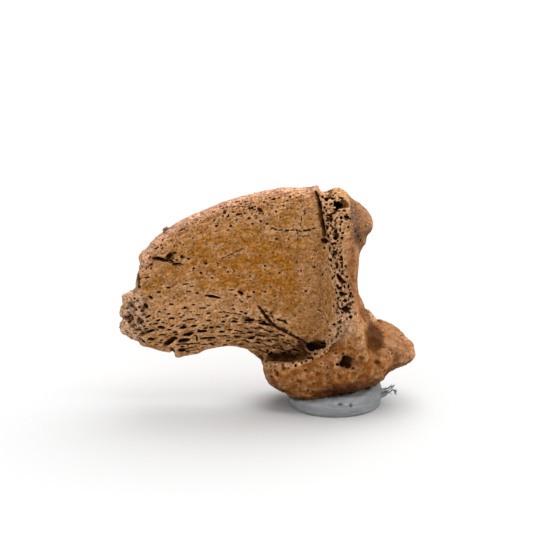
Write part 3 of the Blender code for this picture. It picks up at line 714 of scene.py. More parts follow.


# Pores, slits and cells. Those listed one by one are x, y, length and width in pixels, then the turn in degrees
# where there is one, then a depth of their own in mm where it isn't the usual one of their kind.
handPits = {  # usual depth in mm, spots
    "bladePores": (0.42, [
        (182, 257, 3.6, 3, 20), (177, 259.5, 2.6, 2.2), (188.6, 259, 3.2, 2.6, 30), (193.7, 268.5, 3.4, 2.6, 35),
        (151, 264.4, 3.8, 2.6, 10), (147.4, 277.6, 5.5, 2.4, 12), (168.4, 287.7, 4.8, 2.8, 5),
        (158.8, 292.2, 5, 2.6, 12), (171.3, 304.4, 5.2, 2.6, -5), (188.6, 291.7, 4.8, 2, 5), (197.3, 293.1, 4.2, 2.4),
        (184.8, 298, 2.6, 1.8), (173.4, 298.4, 2.6, 1.8, -30), (193.5, 304.7, 4.4, 2, 10), (139, 286.8, 3.4, 3.4),
        (205.6, 263.7, 2.8, 2, -10), (218, 263.7, 2.6, 1.8), (201, 273, 3, 3.6, 60), (228, 272, 3.2, 2.4),
        (234.5, 271, 2.4, 1.8), (239, 276, 2.4, 2, 20), (250, 276, 2.8, 2.2), (212, 278, 3.4, 2.2, -20),
        (265, 266, 3, 2.4), (279.5, 273, 2.8, 2.4, 30), (253.7, 292.2, 3.4, 2.4), (214, 247, 2, 1.6),
        (276.5, 239, 4, 2.4, 15), (181.6, 229.5, 5, 2.4, 25), (156.6, 248, 5.5, 2.2, 25), (174, 246, 2.6, 2),
        (216.5, 226, 4, 2.4, 25), (230.6, 226, 3.8, 2.4, 25), (224.5, 212.7, 3.6, 3.2), (233, 212, 2.8, 2.2),
        (228.6, 215, 2.6, 2.2), (239, 214.3, 8, 2.2, 8), (249, 218.3, 3.4, 2.6, 20), (252, 208, 3.6, 3.2),
        (260, 210, 7, 4.2, -35), (260.7, 221.3, 3, 2.6, 20), (252.5, 224, 3.2, 2.2), (267, 224, 2.8, 2.4),
        (276, 211.6, 2.8, 2.2), (304.6, 213.8, 2.4, 2), (264, 202, 2.8, 2.2, 30), (287.6, 200.6, 2.4, 2),
        (246, 201.5, 3, 1.8, 20), (236.5, 201.5, 3.4, 1.6, 20), (270, 197.5, 3, 1.6, 10), (291, 203.4, 2.2, 1.8),
        (263, 213.5, 2.6, 2), (272, 205.5, 2.4, 1.8), (256, 216, 2.2, 1.8), (272, 228.5, 4, 1.6, 30),
        (305.9, 291.3, 3.2, 2.4, 10), (313.8, 267.3, 3.8, 2.8), (265, 292, 3.6, 2.2), (275, 296, 2.6, 2, 20),
        (295, 315.8, 2.4, 1.8, 40), (325.8, 303, 3.8, 3.2, -20), (315, 331, 2.8, 1.8), (329.6, 330.6, 4.8, 2),
        (299, 342, 3.2, 2), (328, 321, 2.6, 1.8), (301, 271, 1.8, 3), (322.5, 274.5, 4.2, 3.2, 10),
        (324.5, 248, 3, 2.4), (313.8, 303, 2.2, 1.8), (214, 289.5, 2.6, 1.6), (235.6, 295.2, 3.2, 1.8),
        (231, 290, 7, 1.6), (248.3, 296.6, 4, 2, -10), (241.8, 301.7, 4, 1.8, -20), (232.6, 305.2, 3.6, 1.8, 20),
        (192.2, 286.5, 3.4, 1.8, 20), (200, 308.2, 3, 2), (204.4, 308, 3.4, 1.8), (270.6, 313.4, 3, 2.4),
    ]),
    "bladeSlits": (0.62, [
        (212.5, 296.6, 17, 3.4, -9), (240.7, 292.8, 7.5, 3.6, -28), (185.4, 284.1, 7, 1.8, 15),
        (184.8, 308.5, 8, 1.8, 15), (150.7, 297.4, 6, 3.2, -40), (146.3, 305.8, 5.5, 4.2, -60, 0.8),
        (171.3, 318.3, 6.5, 2.4, 12), (190.8, 319.3, 9, 2.2, 8), (181, 317.2, 4, 2, 20), (158.3, 320.4, 5.5, 2.4, 25),
        (184.8, 321, 6, 1.8, 8), (168.6, 314.3, 4, 1.6, 10), (179.4, 313.7, 3, 1.8), (158.8, 311.8, 3.4, 1.8),
        (148, 316.6, 7, 2.6, 30), (161, 327.5, 8.5, 4, -5, 0.8), (172.4, 325.9, 5.5, 2.2, 25),
        (183.2, 327.5, 8.5, 3.2, 12, 0.8), (194, 326, 7.5, 2.4, 12), (203, 325.3, 3.4, 1.8),
        (211.4, 327.5, 5.5, 2.8, -5), (218.5, 327, 6, 2.6), (223.3, 321.8, 5, 3, -10), (234.7, 321.5, 7.5, 3, 0, 0.7),
        (227.1, 316.1, 4.4, 2.6), (249.6, 320, 11, 3.6, 3, 0.8), (245.6, 313.4, 4, 2.8), (244.5, 317.2, 5, 1.6),
        (259.7, 320.4, 4.4, 2), (150.2, 331.3, 11, 3.2, 20, 0.8), (169, 329.7, 5, 2.4, 10),
        (175, 332.4, 5.5, 2.8, 18), (162, 335, 8.5, 2.6, 12), (188.5, 334, 12, 3.6, 12, 0.9),
        (202.2, 331.3, 11, 3.4, 3, 0.9), (221.7, 331.8, 7, 2.6), (249.9, 332.4, 7, 2.6, 3, 0.7), (236, 330.5, 5, 1.8),
        (151.2, 339.2, 8, 3.8, -8, 0.8), (143.6, 341.4, 4.5, 2.4, -30), (170, 341.2, 14, 4.8, 30, 0.9),
        (174.6, 338, 8, 4, 16, 0.7), (166.4, 343.6, 7, 3, 28, 0.6), (184, 340.5, 13, 5, 15, 1),
        (208, 338, 18, 3.2, 3, 0.9), (224.5, 336, 10, 2.2), (237, 336.2, 8.5, 2), (251, 338.2, 6.5, 2.6),
        (189, 344, 19, 2.4, 3), (204.4, 344.6, 6, 2.6, -10), (212, 344.3, 6, 3.4, -40, 0.7), (228.2, 340.6, 4.4, 2.6),
        (235.3, 341, 5.5, 2), (181.8, 350.2, 9, 3.4, 8, 0.8), (190.5, 347.8, 9, 2, 12), (247.7, 342.1, 6, 1.8),
        (196.8, 338.6, 2.4, 6.5, 0, 0.6), (178.5, 344.5, 7, 2, 10), (160, 342.8, 6, 1.8, 15),
        (320, 311, 8.5, 1.5, -5, 0.3), (326, 320, 8, 1.5, -28, 0.3), (322.5, 318.2, 4, 1.4, 5, 0.3),
        (259, 328, 9, 1.8, -3), (270, 331.5, 8, 2, -8), (281, 335, 9, 1.8, -14), (262, 336, 9, 1.8, -6),
        (275, 340, 9, 1.8, -14), (288, 343.5, 9, 1.8, -18), (257, 343, 8, 1.8, -10), (268, 346, 9, 1.8, -18),
        (281, 349, 10, 1.8, -16), (296, 350, 9, 2, -14), (265, 324.5, 8, 2.2, -10), (278.7, 320, 5, 2.6, -20),
        (284.7, 321.4, 5, 3, -30), (262, 351, 7, 1.8, -30), (272, 354, 7, 1.8, -20),
    ]),
    "breakCells": (0.7, [
        (329.6, 193.5, 3.6, 3, 20), (330, 197, 2.8, 2.6), (322.3, 197, 2.8, 4), (334, 198.6, 3, 2.4),
        (326, 200, 2.6, 2.4), (326.5, 204, 3.2, 2.8), (324.6, 207.4, 2.4, 3.4), (326.5, 215.7, 3.4, 2.6, 30),
        (333.2, 213.4, 6.5, 2.2, 20), (328, 220.4, 3.4, 2.6, 20), (334.7, 220.6, 3.6, 3.2), (330.5, 217.4, 2.6, 2.2),
        (340.8, 217.5, 3, 3.4), (346.5, 216.9, 6.4, 3.4, -15), (340.3, 224.6, 2.8, 2.4), (335.2, 225.2, 2.8, 2.4),
        (330.5, 225.6, 3.4, 2.4, 20), (348.2, 227, 2.4, 3), (335.7, 231.2, 4.6, 4.6, 0, 0.9),
        (340.3, 228.6, 2.6, 2.2), (329.8, 234.3, 2.6, 2.2), (335.2, 238, 4.6, 4.2, 0, 0.9),
        (333.4, 243.5, 4.4, 3.2, 20, 0.8), (333.9, 248.2, 3.2, 3), (336.4, 251.3, 2.4, 2.2),
        (324, 247.8, 3.4, 2.2, 20), (329.9, 250.5, 3.6, 1.8, 20), (333.4, 255, 2.2, 5), (330.4, 260, 5, 2.4, 15),
        (326, 262.5, 2.4, 2.2), (341.3, 262.6, 3.6, 2.4, 20), (336.7, 262.9, 2.4, 2.2),
        (336.7, 267.2, 3.6, 3, 10, 0.9), (342, 266.8, 3.6, 3.4), (332.5, 268.6, 2.4, 2.2), (325.7, 270, 2.8, 2.4),
        (332.5, 278.4, 4.4, 2.6, 20), (339.4, 277.6, 9.5, 4.4, -58, 1.1), (342.4, 273.4, 6.5, 2.4, -45, 0.7),
        (345.6, 276.4, 2.2, 2.4), (344.2, 285.7, 2.6, 2.6), (348.3, 286.6, 3.2, 5.4), (339.7, 288.2, 7, 3.2, 10, 1),
        (341.8, 294, 3.2, 3), (346, 294.4, 3, 2.2), (339, 297.6, 3, 2.2), (345.4, 300.4, 4.6, 3.6, 0, 0.9),
        (337.2, 303.2, 4, 2.2, 20), (342, 303.6, 3, 2.4), (345, 308.7, 6.6, 5.2, 30, 1.1), (338.6, 307.4, 3, 2.4),
        (337, 312.4, 4, 3), (341, 316.6, 3.2, 2.4), (339.8, 321, 3, 2.2, 40), (295.5, 365.6, 3, 3.6),
        (298.6, 361.6, 2.4, 2.2), (301.6, 362.6, 2.4, 3), (306.2, 361, 2.6, 2.8), (321, 363.6, 2.4, 2),
        (327, 367, 2.2, 1.8), (335.7, 353.2, 3, 2.2, 0, 0.4), (337.2, 364.6, 4, 3, -30), (275, 370.5, 3, 2.4, 0, 0.3),
        (283, 364.6, 3, 2, 0, 0.4), (289, 368, 2.6, 2, 0, 0.3), (355.5, 231.5, 3, 4, 0, 0.5),
        (358, 236.5, 2.4, 3.6, 30, 0.5), (355.8, 242, 2.2, 2.6, 0, 0.4), (360.4, 240.6, 2, 3, 0, 0.4),
    ]),
    "tipHollows": (0.45, [
        (132.4, 317.6, 3, 6.5, -15, 0.8), (129.6, 321.6, 4.6, 2.6, 30, 0.7), (128.6, 316.4, 3.4, 2.6, 20, 0.5),
        (134.6, 298.4, 3, 2, 20), (131.6, 299.6, 2, 2.4), (137.2, 300.8, 2, 2.2), (134, 302.4, 2.4, 1.8),
        (145.6, 305.4, 3.2, 4.6, 30, 0.6), (139.6, 307.6, 3.2, 2.2, 20), (136.4, 309.8, 3, 1.8),
        (141.2, 310.6, 2.4, 2.6), (136, 315.4, 2.2, 2), (148.4, 316.6, 6, 2.4, 30), (141.6, 322.4, 5, 2.4, 40),
        (144.4, 326.4, 3.4, 2.4, 20), (134.6, 325, 2.6, 1.8, 20), (138.4, 329.6, 3.6, 1.8, -10),
        (143, 333, 5, 2, -10), (126.8, 308.6, 2.2, 1.6, 30), (147.6, 321.4, 4, 1.8, 35), (131, 305.4, 3.4, 1.6, 50),
    ]),
    "gouge": (0.5, [
        (259.8, 308.2, 7, 3, -48), (263, 312.2, 8, 4.2, -54), (266.4, 317, 8, 4.4, -54), (269.6, 321.2, 8, 4.4, -50),
        (273.6, 325, 9, 4.4, -44), (278.6, 328.6, 9, 3.8, -34), (284.6, 331.8, 9, 3.4, -28), (291, 335.2, 9, 3, -28),
        (297.5, 338.6, 9, 2.4, -28), (262.4, 323.4, 9, 2.4, -6), (268.8, 325, 8, 2.6, -12),
        (266.4, 311.4, 5, 1.6, -40), (272.5, 316.8, 5, 2, -50), (281, 320.6, 5, 2, -30), (286, 323.2, 4, 2, -10),
    ]),
    "slot": (1, [
        (316.8, 193.6, 8, 3.6, -72, 0.5), (318.6, 199.6, 13, 3.2, -72), (321, 208, 14, 3.4, -76),
        (322.6, 216.5, 14, 3.4, -83), (323.8, 224.6, 13, 3.6, -80), (325, 230.4, 8, 3.2, -70, 0.7),
        (319.2, 204, 9, 3, -70, 0.8), (157.5, 258.4, 14, 4.2, -4, 0.6), (163.5, 260.2, 12, 3.4, -10, 0.6),
        (168.8, 256.2, 9, 5.2, 45, 0.6), (176.5, 263.8, 10, 2.6, 8, 0.5), (171.5, 261, 7, 2.6, -35, 0.5),
        (174.4, 253, 5, 2.4, 20, 0.4), (139, 280, 1.8, 10, 0, 0.35), (139.4, 287, 3, 3, 0, 0.5),
    ]),
    "troughPits": (0.45, [
        (284.6, 356.6, 20, 4, 3, 0.45), (272.5, 355.6, 9, 5, 20, 0.45), (299, 358.4, 16, 3, -4, 0.5),
        (271, 353, 4, 3, 40), (279, 357.5, 5, 2.6, 10), (287, 358, 6, 2.4, 5), (289, 353.6, 4, 2.6, 30),
        (297.5, 355, 5, 2.6, -10), (305, 356, 5, 2.4, -10), (267.5, 351, 3, 4, 60), (281, 352.4, 3, 2.2),
        (300, 360, 8, 1.8, -5), (292, 360.6, 7, 1.6), (283, 361, 6, 1.6), (274, 360.6, 6, 1.8),
    ]),
    "deepHoles": (2.4, [
        (316.8, 347.2, 22, 9, -16, 1.6), (323.6, 347.4, 13, 6.5, -26, 1.5), (309.6, 345.8, 8, 6.4, 5, 1.2),
        (338.8, 205, 9.5, 7.5, 5), (346, 360.2, 11, 13, 0, 1.2), (348.4, 366, 8, 6, -10, 1.1),
        (342, 363.4, 9, 7, 30, 1.1), (350, 359, 6, 8, 0, 0.9), (344.8, 356.6, 6, 7, 0, 1.1),
    ]),
    "hollows": (0.8, [
        (284, 354.6, 6, 6, 80, 0.8), (276, 357, 8, 6, 10, 0.6), (270, 355.5, 4, 5, 60, 0.5),
        (292.5, 356.6, 9, 4.5, -10, 0.9), (301, 358.4, 12, 3.6, -4, 0.9), (309, 358, 7, 2.8, 0, 0.6),
        (324.6, 240.8, 9.5, 6, -5, 0.55), (344.4, 203.8, 12.5, 12, 0, 0.75), (333.5, 344.5, 7, 1.6, 52, 0.5),
        (336.6, 336.5, 7, 1.6, 72, 0.4),
    ]),
}

# Cracks as lines of overlapping slits: the line in pixels, its width there, then its depth in mm
cracks = [
    ([(273, 228.6), (278, 230.4), (283, 230)], 1.3, 0.25), ([(285, 230.6), (289, 230)], 2, 0.35),
    ([(290, 230.6), (295, 230.4), (302, 231)], 1.7, 0.32), ([(303, 231), (308, 230), (315, 228)], 2.1, 0.35),
    ([(301.5, 216), (301, 222), (301.8, 230)], 1, 0.2), ([(298, 232), (297.6, 241)], 1, 0.18),
    ([(298, 236.5), (310, 236)], 0.9, 0.16), ([(221, 258.6), (230, 254.4), (239, 250.2), (243.6, 248)], 1.3, 0.2),
    ([(281, 328), (286, 330.6), (292, 333.6), (300, 339), (308, 344.6)], 1.9, 0.36),
    ([(221, 208.5), (236, 206.4), (250, 206.8)], 1, 0.18), ([(219, 311.8), (229, 312.6), (241, 314.4)], 1.5, 0.3),
    ([(255, 320), (262, 322.4), (270, 324)], 1.6, 0.35), ([(206, 349.4), (196, 349.6), (186, 353)], 1, 0.2),
    ([(334, 345), (328, 352.6), (320, 357.4)], 1.2, 0.2), ([(186, 256), (180, 262), (172, 258.6)], 1.2, 0.2),
]

# Scattered kinds: mask, spacing in mm, density in each square mm, the ranges of length, width and depth
# in mm, how far they are sunk in mm, the spread of their turn in degrees and the seed
poreKinds = {
    "slits": ("slits", 0.85, 1.5, (0.4, 1.1), (0.2, 0.42), (0.3, 0.6), 0.0, 9, 11),
    "fibres": ("fibres", 0.75, 1.2, (0.6, 1.5), (0.16, 0.3), (0.25, 0.45), 0.0, 14, 12),
    "bandPores": ("band", 0.5, 3.0, (0.2, 0.62), (0.15, 0.3), (0.16, 0.36), 0.0, 22, 13),
    "upperPores": ("upper", 0.7, 1.6, (0.24, 0.5), (0.2, 0.36), (0.24, 0.45), 0.0, 40, 21),
    "plainPores": ("plain", 1.1, 0.7, (0.2, 0.42), (0.16, 0.3), (0.16, 0.34), 0.0, 50, 14),
    "breakCells": ("spongy", 0.5, 4.0, (0.34, 0.72), (0.28, 0.52), (0.3, 0.7), 0.1, 90, 15),
    "deepCells": ("spongy", 0.8, 1.6, (0.6, 1.1), (0.45, 0.8), (0.4, 0.6), 0.5, 90, 16),
    "ledgePores": ("broken", 0.6, 1.2, (0.2, 0.5), (0.18, 0.34), (0.2, 0.4), 0.0, 90, 19),
    "tipCells": ("tip", 0.7, 1.3, (0.25, 0.6), (0.18, 0.36), (0.15, 0.35), 0.0, 60, 17),
    "basePores": ("base", 0.95, 1.0, (0.2, 0.6), (0.16, 0.4), (0.12, 0.3), 0.0, 90, 18),
}
pitSetup = {
    "handSeed": 31,
    "farStray": 0.25,  # mm, how far a mark on the far side moves
    "farSize": (0.75, 1.2),  # its size against the near one
    "crackStep": 4.0,  # pixels for each slit of a crack
    "crackWide": (0.75, 1.35),
    "crackLong": (0.9, 1.35),
    "crackStray": 0.25,  # pixels
    "growth": (1.6, 3.0),  # beta spread of sizes between the ends of a kind's ranges
    "uneven": (0.85, 1.15),
    "sunk": (0.4, 1.0),  # share of a kind's own sinking
    "gap": 0.04,  # mm kept between pits of one layer
    "search": 0.1,  # mm beyond their own size in which they look for others
    "depthShare": 0.45,  # how much of its depth counts towards a pit's reach
    "spinePoints": 5,
    "cutters": [(0, 0.2, 0.03), (0.2, 0.75, 0.12), (0.75, 99, 0.3)],  # reach from and to, unevenness, mm
}


def flowAlong(points, normals, turn):  # a direction in the surface, from a rise angle in the photograph
    sides = np.where(points[:, 1] > 0, -1.0, 1.0)
    way = np.stack([np.cos(turn), np.sin(turn) * viewUp[1] * sides, np.sin(turn) * viewUp[2]], axis=1)
    return unit(way - normals * np.sum(way * normals, axis=1)[:, None])


def handPitRows(surface):
    s = pitSetup
    rng = np.random.default_rng(s["handSeed"])
    rows = []

    def place(depth, px, py, long, wide, turn=0, ownDepth=None):  # on the near side, and much alike on the far
        start, ahead = photoRay(px, py)
        spot, normal, _, _ = surface.ray_cast(start, ahead)
        if spot is None:
            return
        depth = ownDepth or depth
        rows.append((spot, normal, long * pixel, wide * pixel, depth, math.radians(turn)))
        mirrored = Vector((spot.x, -spot.y, spot.z)) + Vector(rng.normal(0, s["farStray"] * mm, 3))
        spot, normal, _, _ = surface.find_nearest(mirrored)
        change = rng.uniform(*s["farSize"])
        rows.append((spot, normal, long * pixel * change, wide * pixel * change, depth, math.radians(turn)))

    for usual, spots in handPits.values():
        for spot in spots:
            place(usual, *spot)
    for line, width, depth in cracks:
        for (x0, y0), (x1, y1) in zip(line, line[1:]):
            length = math.hypot(x1 - x0, y1 - y0)
            turn = math.degrees(math.atan2(y0 - y1, x1 - x0))
            count = max(1, round(length / s["crackStep"]))
            for n in range(count):
                share = (n + 0.5) / count
                wide = width * rng.uniform(*s["crackWide"])
                stray = rng.normal(0, s["crackStray"], 2)
                long = length / count * rng.uniform(*s["crackLong"])
                place(depth, x0 + (x1 - x0) * share + stray[0], y0 + (y1 - y0) * share + stray[1], long, wide, turn)
    return rows


def scatteredSpots(bone, **given):
    work = newObject("spots", bone.data.copy())
    useTree(work, spotTree, **given)
    applyModifiers(work)
    points = vectors(work.data.vertices, "co")
    normals = vectors(work.data.attributes["spotNormal"].data, "vector")
    bpy.data.objects.remove(work)
    return points, normals


def collectPits(bone):  # every pit as rows of centre, normal, flow and half sizes, in metres
    rows = handPitRows(surfaceOf(bone))
    points = np.array([r[0] for r in rows])
    normals = np.array([r[1] for r in rows])
    sizes = np.array([(r[2] / 2, r[3] / 2, r[4]) for r in rows]) * mm
    flows = flowAlong(points, normals, np.array([r[5] for r in rows]))
    parts = [(points, normals, flows, sizes)]
    for name, (mask, spacing, density, long, wide, deep, sink, spread, seed) in poreKinds.items():
        rng = np.random.default_rng(seed)
        points, normals = scatteredSpots(bone, Mask=mask, Spacing=spacing, Density=density, Seed=seed)
        count = len(points)
        turn = flowAngle(*toPhoto(points)) + np.radians(rng.uniform(-spread, spread, count))
        grow = rng.beta(*pitSetup["growth"], count)
        sizes = np.stack([a + (b - a) * grow for a, b in (long, wide, deep)], axis=1)
        sizes *= np.array([0.5, 0.5, 1.0]) * rng.uniform(*pitSetup["uneven"], (count, 3))
        points = points - normals * (sink * rng.uniform(*pitSetup["sunk"], count))[:, None] * mm
        parts.append((points, normals, flowAlong(points, normals, turn), sizes * mm))
        print("pits,", name + ":", count)
    return [np.concatenate([part[i] for part in parts]) for i in range(4)]


def sortIntoLayers(points, normals, flows, sizes):  # pits of one layer keep clear of each other
    reach = np.maximum(sizes[:, 1], sizes[:, 2] * pitSetup["depthShare"])
    spine = np.maximum(sizes[:, 0] - reach, 0.0)
    steps = np.linspace(-1, 1, pitSetup["spinePoints"])[None, :, None]
    ends = points[:, None, :] + flows[:, None, :] * spine[:, None, None] * steps
    bound = sizes.max(axis=1)
    tree = kdtree.KDTree(len(points))
    for n, point in enumerate(points):
        tree.insert(point, n)
    tree.balance()
    layer = np.full(len(points), -1)
    for n in np.argsort(-bound, kind="stable"):
        taken = set()
        for _, m, _ in tree.find_range(points[n], bound[n] * 2 + pitSetup["search"] * mm):
            if m == n or layer[m] < 0 or layer[m] in taken:
                continue
            gaps = np.linalg.norm(ends[n][:, None] - ends[m][None], axis=2)
            if gaps.min() < reach[n] + reach[m] + pitSetup["gap"] * mm:
                taken.add(int(layer[m]))
        layer[n] = next(k for k in range(len(points)) if k not in taken)
    return layer


def cutPits(bone, material):
    points, normals, flows, sizes = collectPits(bone)
    layer = sortIntoLayers(points, normals, flows, sizes)
    reach = sizes[:, :2].max(axis=1)
    print("pits in all:", len(points), "in", layer.max() + 1, "layers")
    for n in range(layer.max() + 1):
        for facets, (low, high, uneven) in enumerate(pitSetup["cutters"], 1):
            chosen = (layer == n) & (reach >= low * mm) & (reach < high * mm)
            if not chosen.any():
                continue
            mesh = bpy.data.meshes.new("cutter")
            mesh.from_pydata(points[chosen].tolist(), [], [])
            for name, values in (("spotNormal", normals), ("spotFlow", flows), ("spotSize", sizes)):
                setAttribute(mesh, name, values[chosen])
            cutter = newObject("cutter", mesh)
            useTree(cutter, setTree, Facets=facets, Unevenness=uneven, Material=material)
            applyModifiers(cutter)
            before = len(bone.data.vertices)
            cut = bone.modifiers.new("cut", "BOOLEAN")
            cut.object = cutter
            cut.operation = "DIFFERENCE"
            cut.solver = "MANIFOLD"
            applyModifiers(bone)
            bpy.data.objects.remove(cutter)
            if len(bone.data.vertices) <= before:
                print("layer", n, "facets", facets, "made no cut with", chosen.sum(), "pits")


def keepLargestBody(mesh):
    bodies = []
    with meshWork(mesh) as work:
        left = set(work.verts)
        while left:
            body, front = [], [left.pop()]
            while front:
                vertex = front.pop()
                body.append(vertex)
                beside = {edge.other_vert(vertex) for edge in vertex.link_edges} & left
                left -= beside
                front.extend(beside)
            bodies.append(body)
        bodies.sort(key=len)
        for body in bodies[:-1]:
            bmesh.ops.delete(work, geom=body, context="VERTS")
    print("loose scraps dropped:", len(bodies) - 1)


# Painted shade in hollows and pits, sediment, and paler worn rims with painted highlight follow how open and how
# rounded the surface is at each point
shadeAndWearSetup = {
    "rays": 14,
    "reach": 2.2,  # mm
    "lift": 0.015,  # mm, where the rays start above the surface
    "goldenTurn": 2.399963,  # radians from ray to ray
    "seed": 5,
    "fillRounds": 40,
    "curveRounds": (3, 26),  # fine edges, then broad bowls
    "rimWearAndHighlight": (17.0, 0.8),  # how much the fine and the broad curve add to the paler rims, wear with painted highlight
    "bowl": (6.0, 0.1),  # how fast the painted shade of a broad hollow deepens, and from where
}


def filledSurface(mesh):
    points = fillHollows(mesh, shadeAndWearSetup["fillRounds"])
    return BVHTree.FromPolygons(points.tolist(), [tuple(p.vertices) for p in mesh.polygons])


def openness(obj):
    rng = np.random.default_rng(shadeAndWearSetup["seed"])
    surface = surfaceOf(obj)
    points, normals = placesAndNormals(obj.data)
    count = shadeAndWearSetup["rays"]
    level = (np.arange(count) + 0.5) / count
    turn = np.arange(count) * shadeAndWearSetup["goldenTurn"]
    rise, spread = np.sqrt(1 - level), np.sqrt(level)
    reach = shadeAndWearSetup["reach"] * mm
    seen = np.zeros(len(points))
    # any direction well away from the normal
    helper = np.where(np.abs(normals[:, [2]]) < 0.9, [[0, 0, 1.0]], [[1.0, 0, 0]])
    side = unit(np.cross(normals, helper))
    other = np.cross(normals, side)
    spin = rng.uniform(0, 2 * math.pi, len(points))
    starts = points + normals * shadeAndWearSetup["lift"] * mm
    for n in range(count):
        a = np.cos(turn[n] + spin) * spread[n]
        b = np.sin(turn[n] + spin) * spread[n]
        ways = side * a[:, None] + other * b[:, None] + normals * rise[n]
        for k in range(len(points)):
            hit = surface.ray_cast(starts[k], ways[k], reach)
            seen[k] += 1.0 if hit[3] is None else hit[3] / reach
    return seen / count


def storeShadeAndWear(obj, uncut):
    mesh = obj.data
    seen = averageOverNeighbours(mesh, openness(obj), 1)
    points, normals = placesAndNormals(mesh)
    curves = []
    for rounds in shadeAndWearSetup["curveRounds"]:
        blurred = averageOverNeighbours(mesh, points, rounds)
        curves.append(averageOverNeighbours(mesh, np.sum((points - blurred) * normals, axis=1) / mm, 1))
    (fine, broad), (gain, start) = shadeAndWearSetup["rimWearAndHighlight"], shadeAndWearSetup["bowl"]
    # painted shade and tip sediment from how closed in each point is; wear and painted highlight on rounded rims;
    # painted shade in broad hollows; the depth below the uncut skin for painted shade in pits
    setAttribute(mesh, "hidden", np.clip(1.0 - seen, 0, 1))
    setAttribute(mesh, "rimWearAndHighlight", np.clip(curves[0] * fine + curves[1] * broad, 0, 1))
    setAttribute(mesh, "bowl", np.clip(-curves[1] * gain - start, 0, 1))
    depth = np.zeros(len(points))
    for n, point in enumerate(points):
        spot, normal, _, _ = uncut.find_nearest(point)
        depth[n] = (spot - Vector(point)).dot(normal)
    depth *= 1.0 - ovalMask(*toPhoto(points), boneRegions["openEdge"], 0.4)
    setAttribute(mesh, "poreDepth", np.maximum(depth, 0) / mm)


boneLooks = {
    "tan": (0.420, 0.174, 0.030),
    "ochre": (0.440, 0.150, 0.004),
    "pink": (0.52, 0.188, 0.056),
    # painted highlight: the top edge lightened as if lit from above, over its own pinker tone
    "edge": (0.95, 0.520, 0.380),
    "fair": (0.56, 0.275, 0.110),
    "grey": (0.74, 0.490, 0.340),
    "pale": (0.70, 0.390, 0.198),
    "brown": (0.200, 0.066, 0.006),
    "lowBrown": (0.260, 0.078, 0.008),
    "lip": (0.25, 0.088, 0.026),
    "slate": (0.100, 0.072, 0.062),
    "sediment": (0.150, 0.112, 0.052),
    # painted shade for faces that look down
    "under": (0.035, 0.006, 0.0008),
    "red": (0.040, 0.0045, 0.0006),
    "crust": (0.030, 0.021, 0.008),
    # painted shade deep in pits and holes and on their walls, with dark brown sediment
    "poreShadeAndSediment": (0.018, 0.005, 0.0012),
    "pitWallShadeAndSediment": (0.13, 0.045, 0.008),
    "mottle": (0.060, 0.037, 0.022),
    "extensor": (0.165, 0.080, 0.042),
    # painted shade for broad hollows, the fossa and the trough
    "hollowShade": (0.075, 0.020, 0.001),
    "redHole": (0.175, 0.060, 0.018),
    "troughBrown": (0.105, 0.037, 0.008),
    "bowlBrown": (0.270, 0.115, 0.026),
    "wing": (0.245, 0.117, 0.062),
    "olive": (0.085, 0.050, 0.016),
    "roughness": 0.72,
    "specular": 0.08,
    "bump": 0.38,  # mm
}


# Layers of colour, in order: the look, then two patterns or masks whose strengths are multiplied. With two
# numbers, the second one goes from the first number to the other. With three, it rises from 0 to the third
# between the first two.
boneLayers = [
    ("ochre", "ochre", "patches", 0.5, 0.85), ("pink", "band", "small", 0.45, 0.95),
    # the edge look is a painted highlight along the top edge over its pinker tone
    ("edge", "edge", "small", 0.75, 1.0), ("brown", "patches", "small", 0.0, 0.4),
    ("brown", "fibres", "small", 0.45, 0.8), ("lowBrown", "base", "patches", 0.25, 0.7),
    ("pink", "base", "small", 0.0, 0.3), ("lowBrown", "low", "small", 0.9, 0.65),
    ("pink", "joint", "whole", 0.0, 0.4), ("fair", "fair", "small", 0.85, 0.5),
    ("grey", "tip", "small", 0.7, 1.0), ("pale", "broken", "whole", 0.0, 0.75),
    # paler rounded rims: wear with painted highlight
    ("grey", "grit", "whole", 0.0, 0.6), ("pale", "rimWearAndHighlight", "low", 0.75, 0.5),
    ("lip", "lip", "small", 0.5, 0.85), ("wing", "wing", "small", 0.4, 0.75),
    ("extensor", "extensor", "small", 0.55, 0.8), ("mottle", "mottle", "flecks", 0.5, 1.1),
    ("slate", "slate", "small", 0.5, 0.8), ("sediment", "tip", "hidden", 0.12, 0.45, 0.75),
    # painted shade in broad hollows
    ("sediment", "slits", "flecks", 0.0, 0.5), ("hollowShade", "bowl", "plain", 0.7, 0.2),
    ("brown", "flecks", "plain", 0.45, 0.25), ("pale", "rough", "fine", 0.54, 0.72, 0.65),
    ("pale", "band", "fibre", 0.53, 0.66, 0.6), ("olive", "band", "fibre", 0.46, 0.34, 0.8),
    # painted shade in the fossa, on faces that look down and in the trough
    ("brown", "rough", "fine", 0.46, 0.28, 0.7), ("hollowShade", "fossa", "small", 0.95, 1.0),
    ("under", "under", "small", 0.7, 0.45), ("red", "red", "small", 0.9, 0.7),
    ("hollowShade", "trough", "small", 1.0, 0.7), ("brown", "slotShade", "small", 0.4, 0.75),
    # pin-prick pores in the dark of painted shade and sediment
    ("poreShadeAndSediment", "whole", "specks", 0.0, 0.5),
]
depthLayers = [  # over the fine tones, with painted shade deep in pits and holes and on their walls
    ("crust", "whole", "crustEdge", 0.45, 0.95, 0.8), ("pitWallShadeAndSediment", "whole", "poreDepth", 0.06, 0.24, 0.9),
    ("pitWallShadeAndSediment", "whole", "hidden", 0.25, 0.65, 0.75), ("poreShadeAndSediment", "unbroken", "poreDepth", 0.14, 0.55, 1.0),
    ("poreShadeAndSediment", "whole", "hidden", 0.5, 0.85, 1.0), ("poreShadeAndSediment", "holes", "hidden", 0.15, 0.5, 1.3),
    ("redHole", "redHole", "small", 0.35, 0.9), ("sediment", "tip", "hidden", 0.3, 0.6, 0.35),
    ("troughBrown", "trough", "small", 0.25, 0.9), ("bowlBrown", "crestBowl", "shallow", 0.0, 1.0),
]


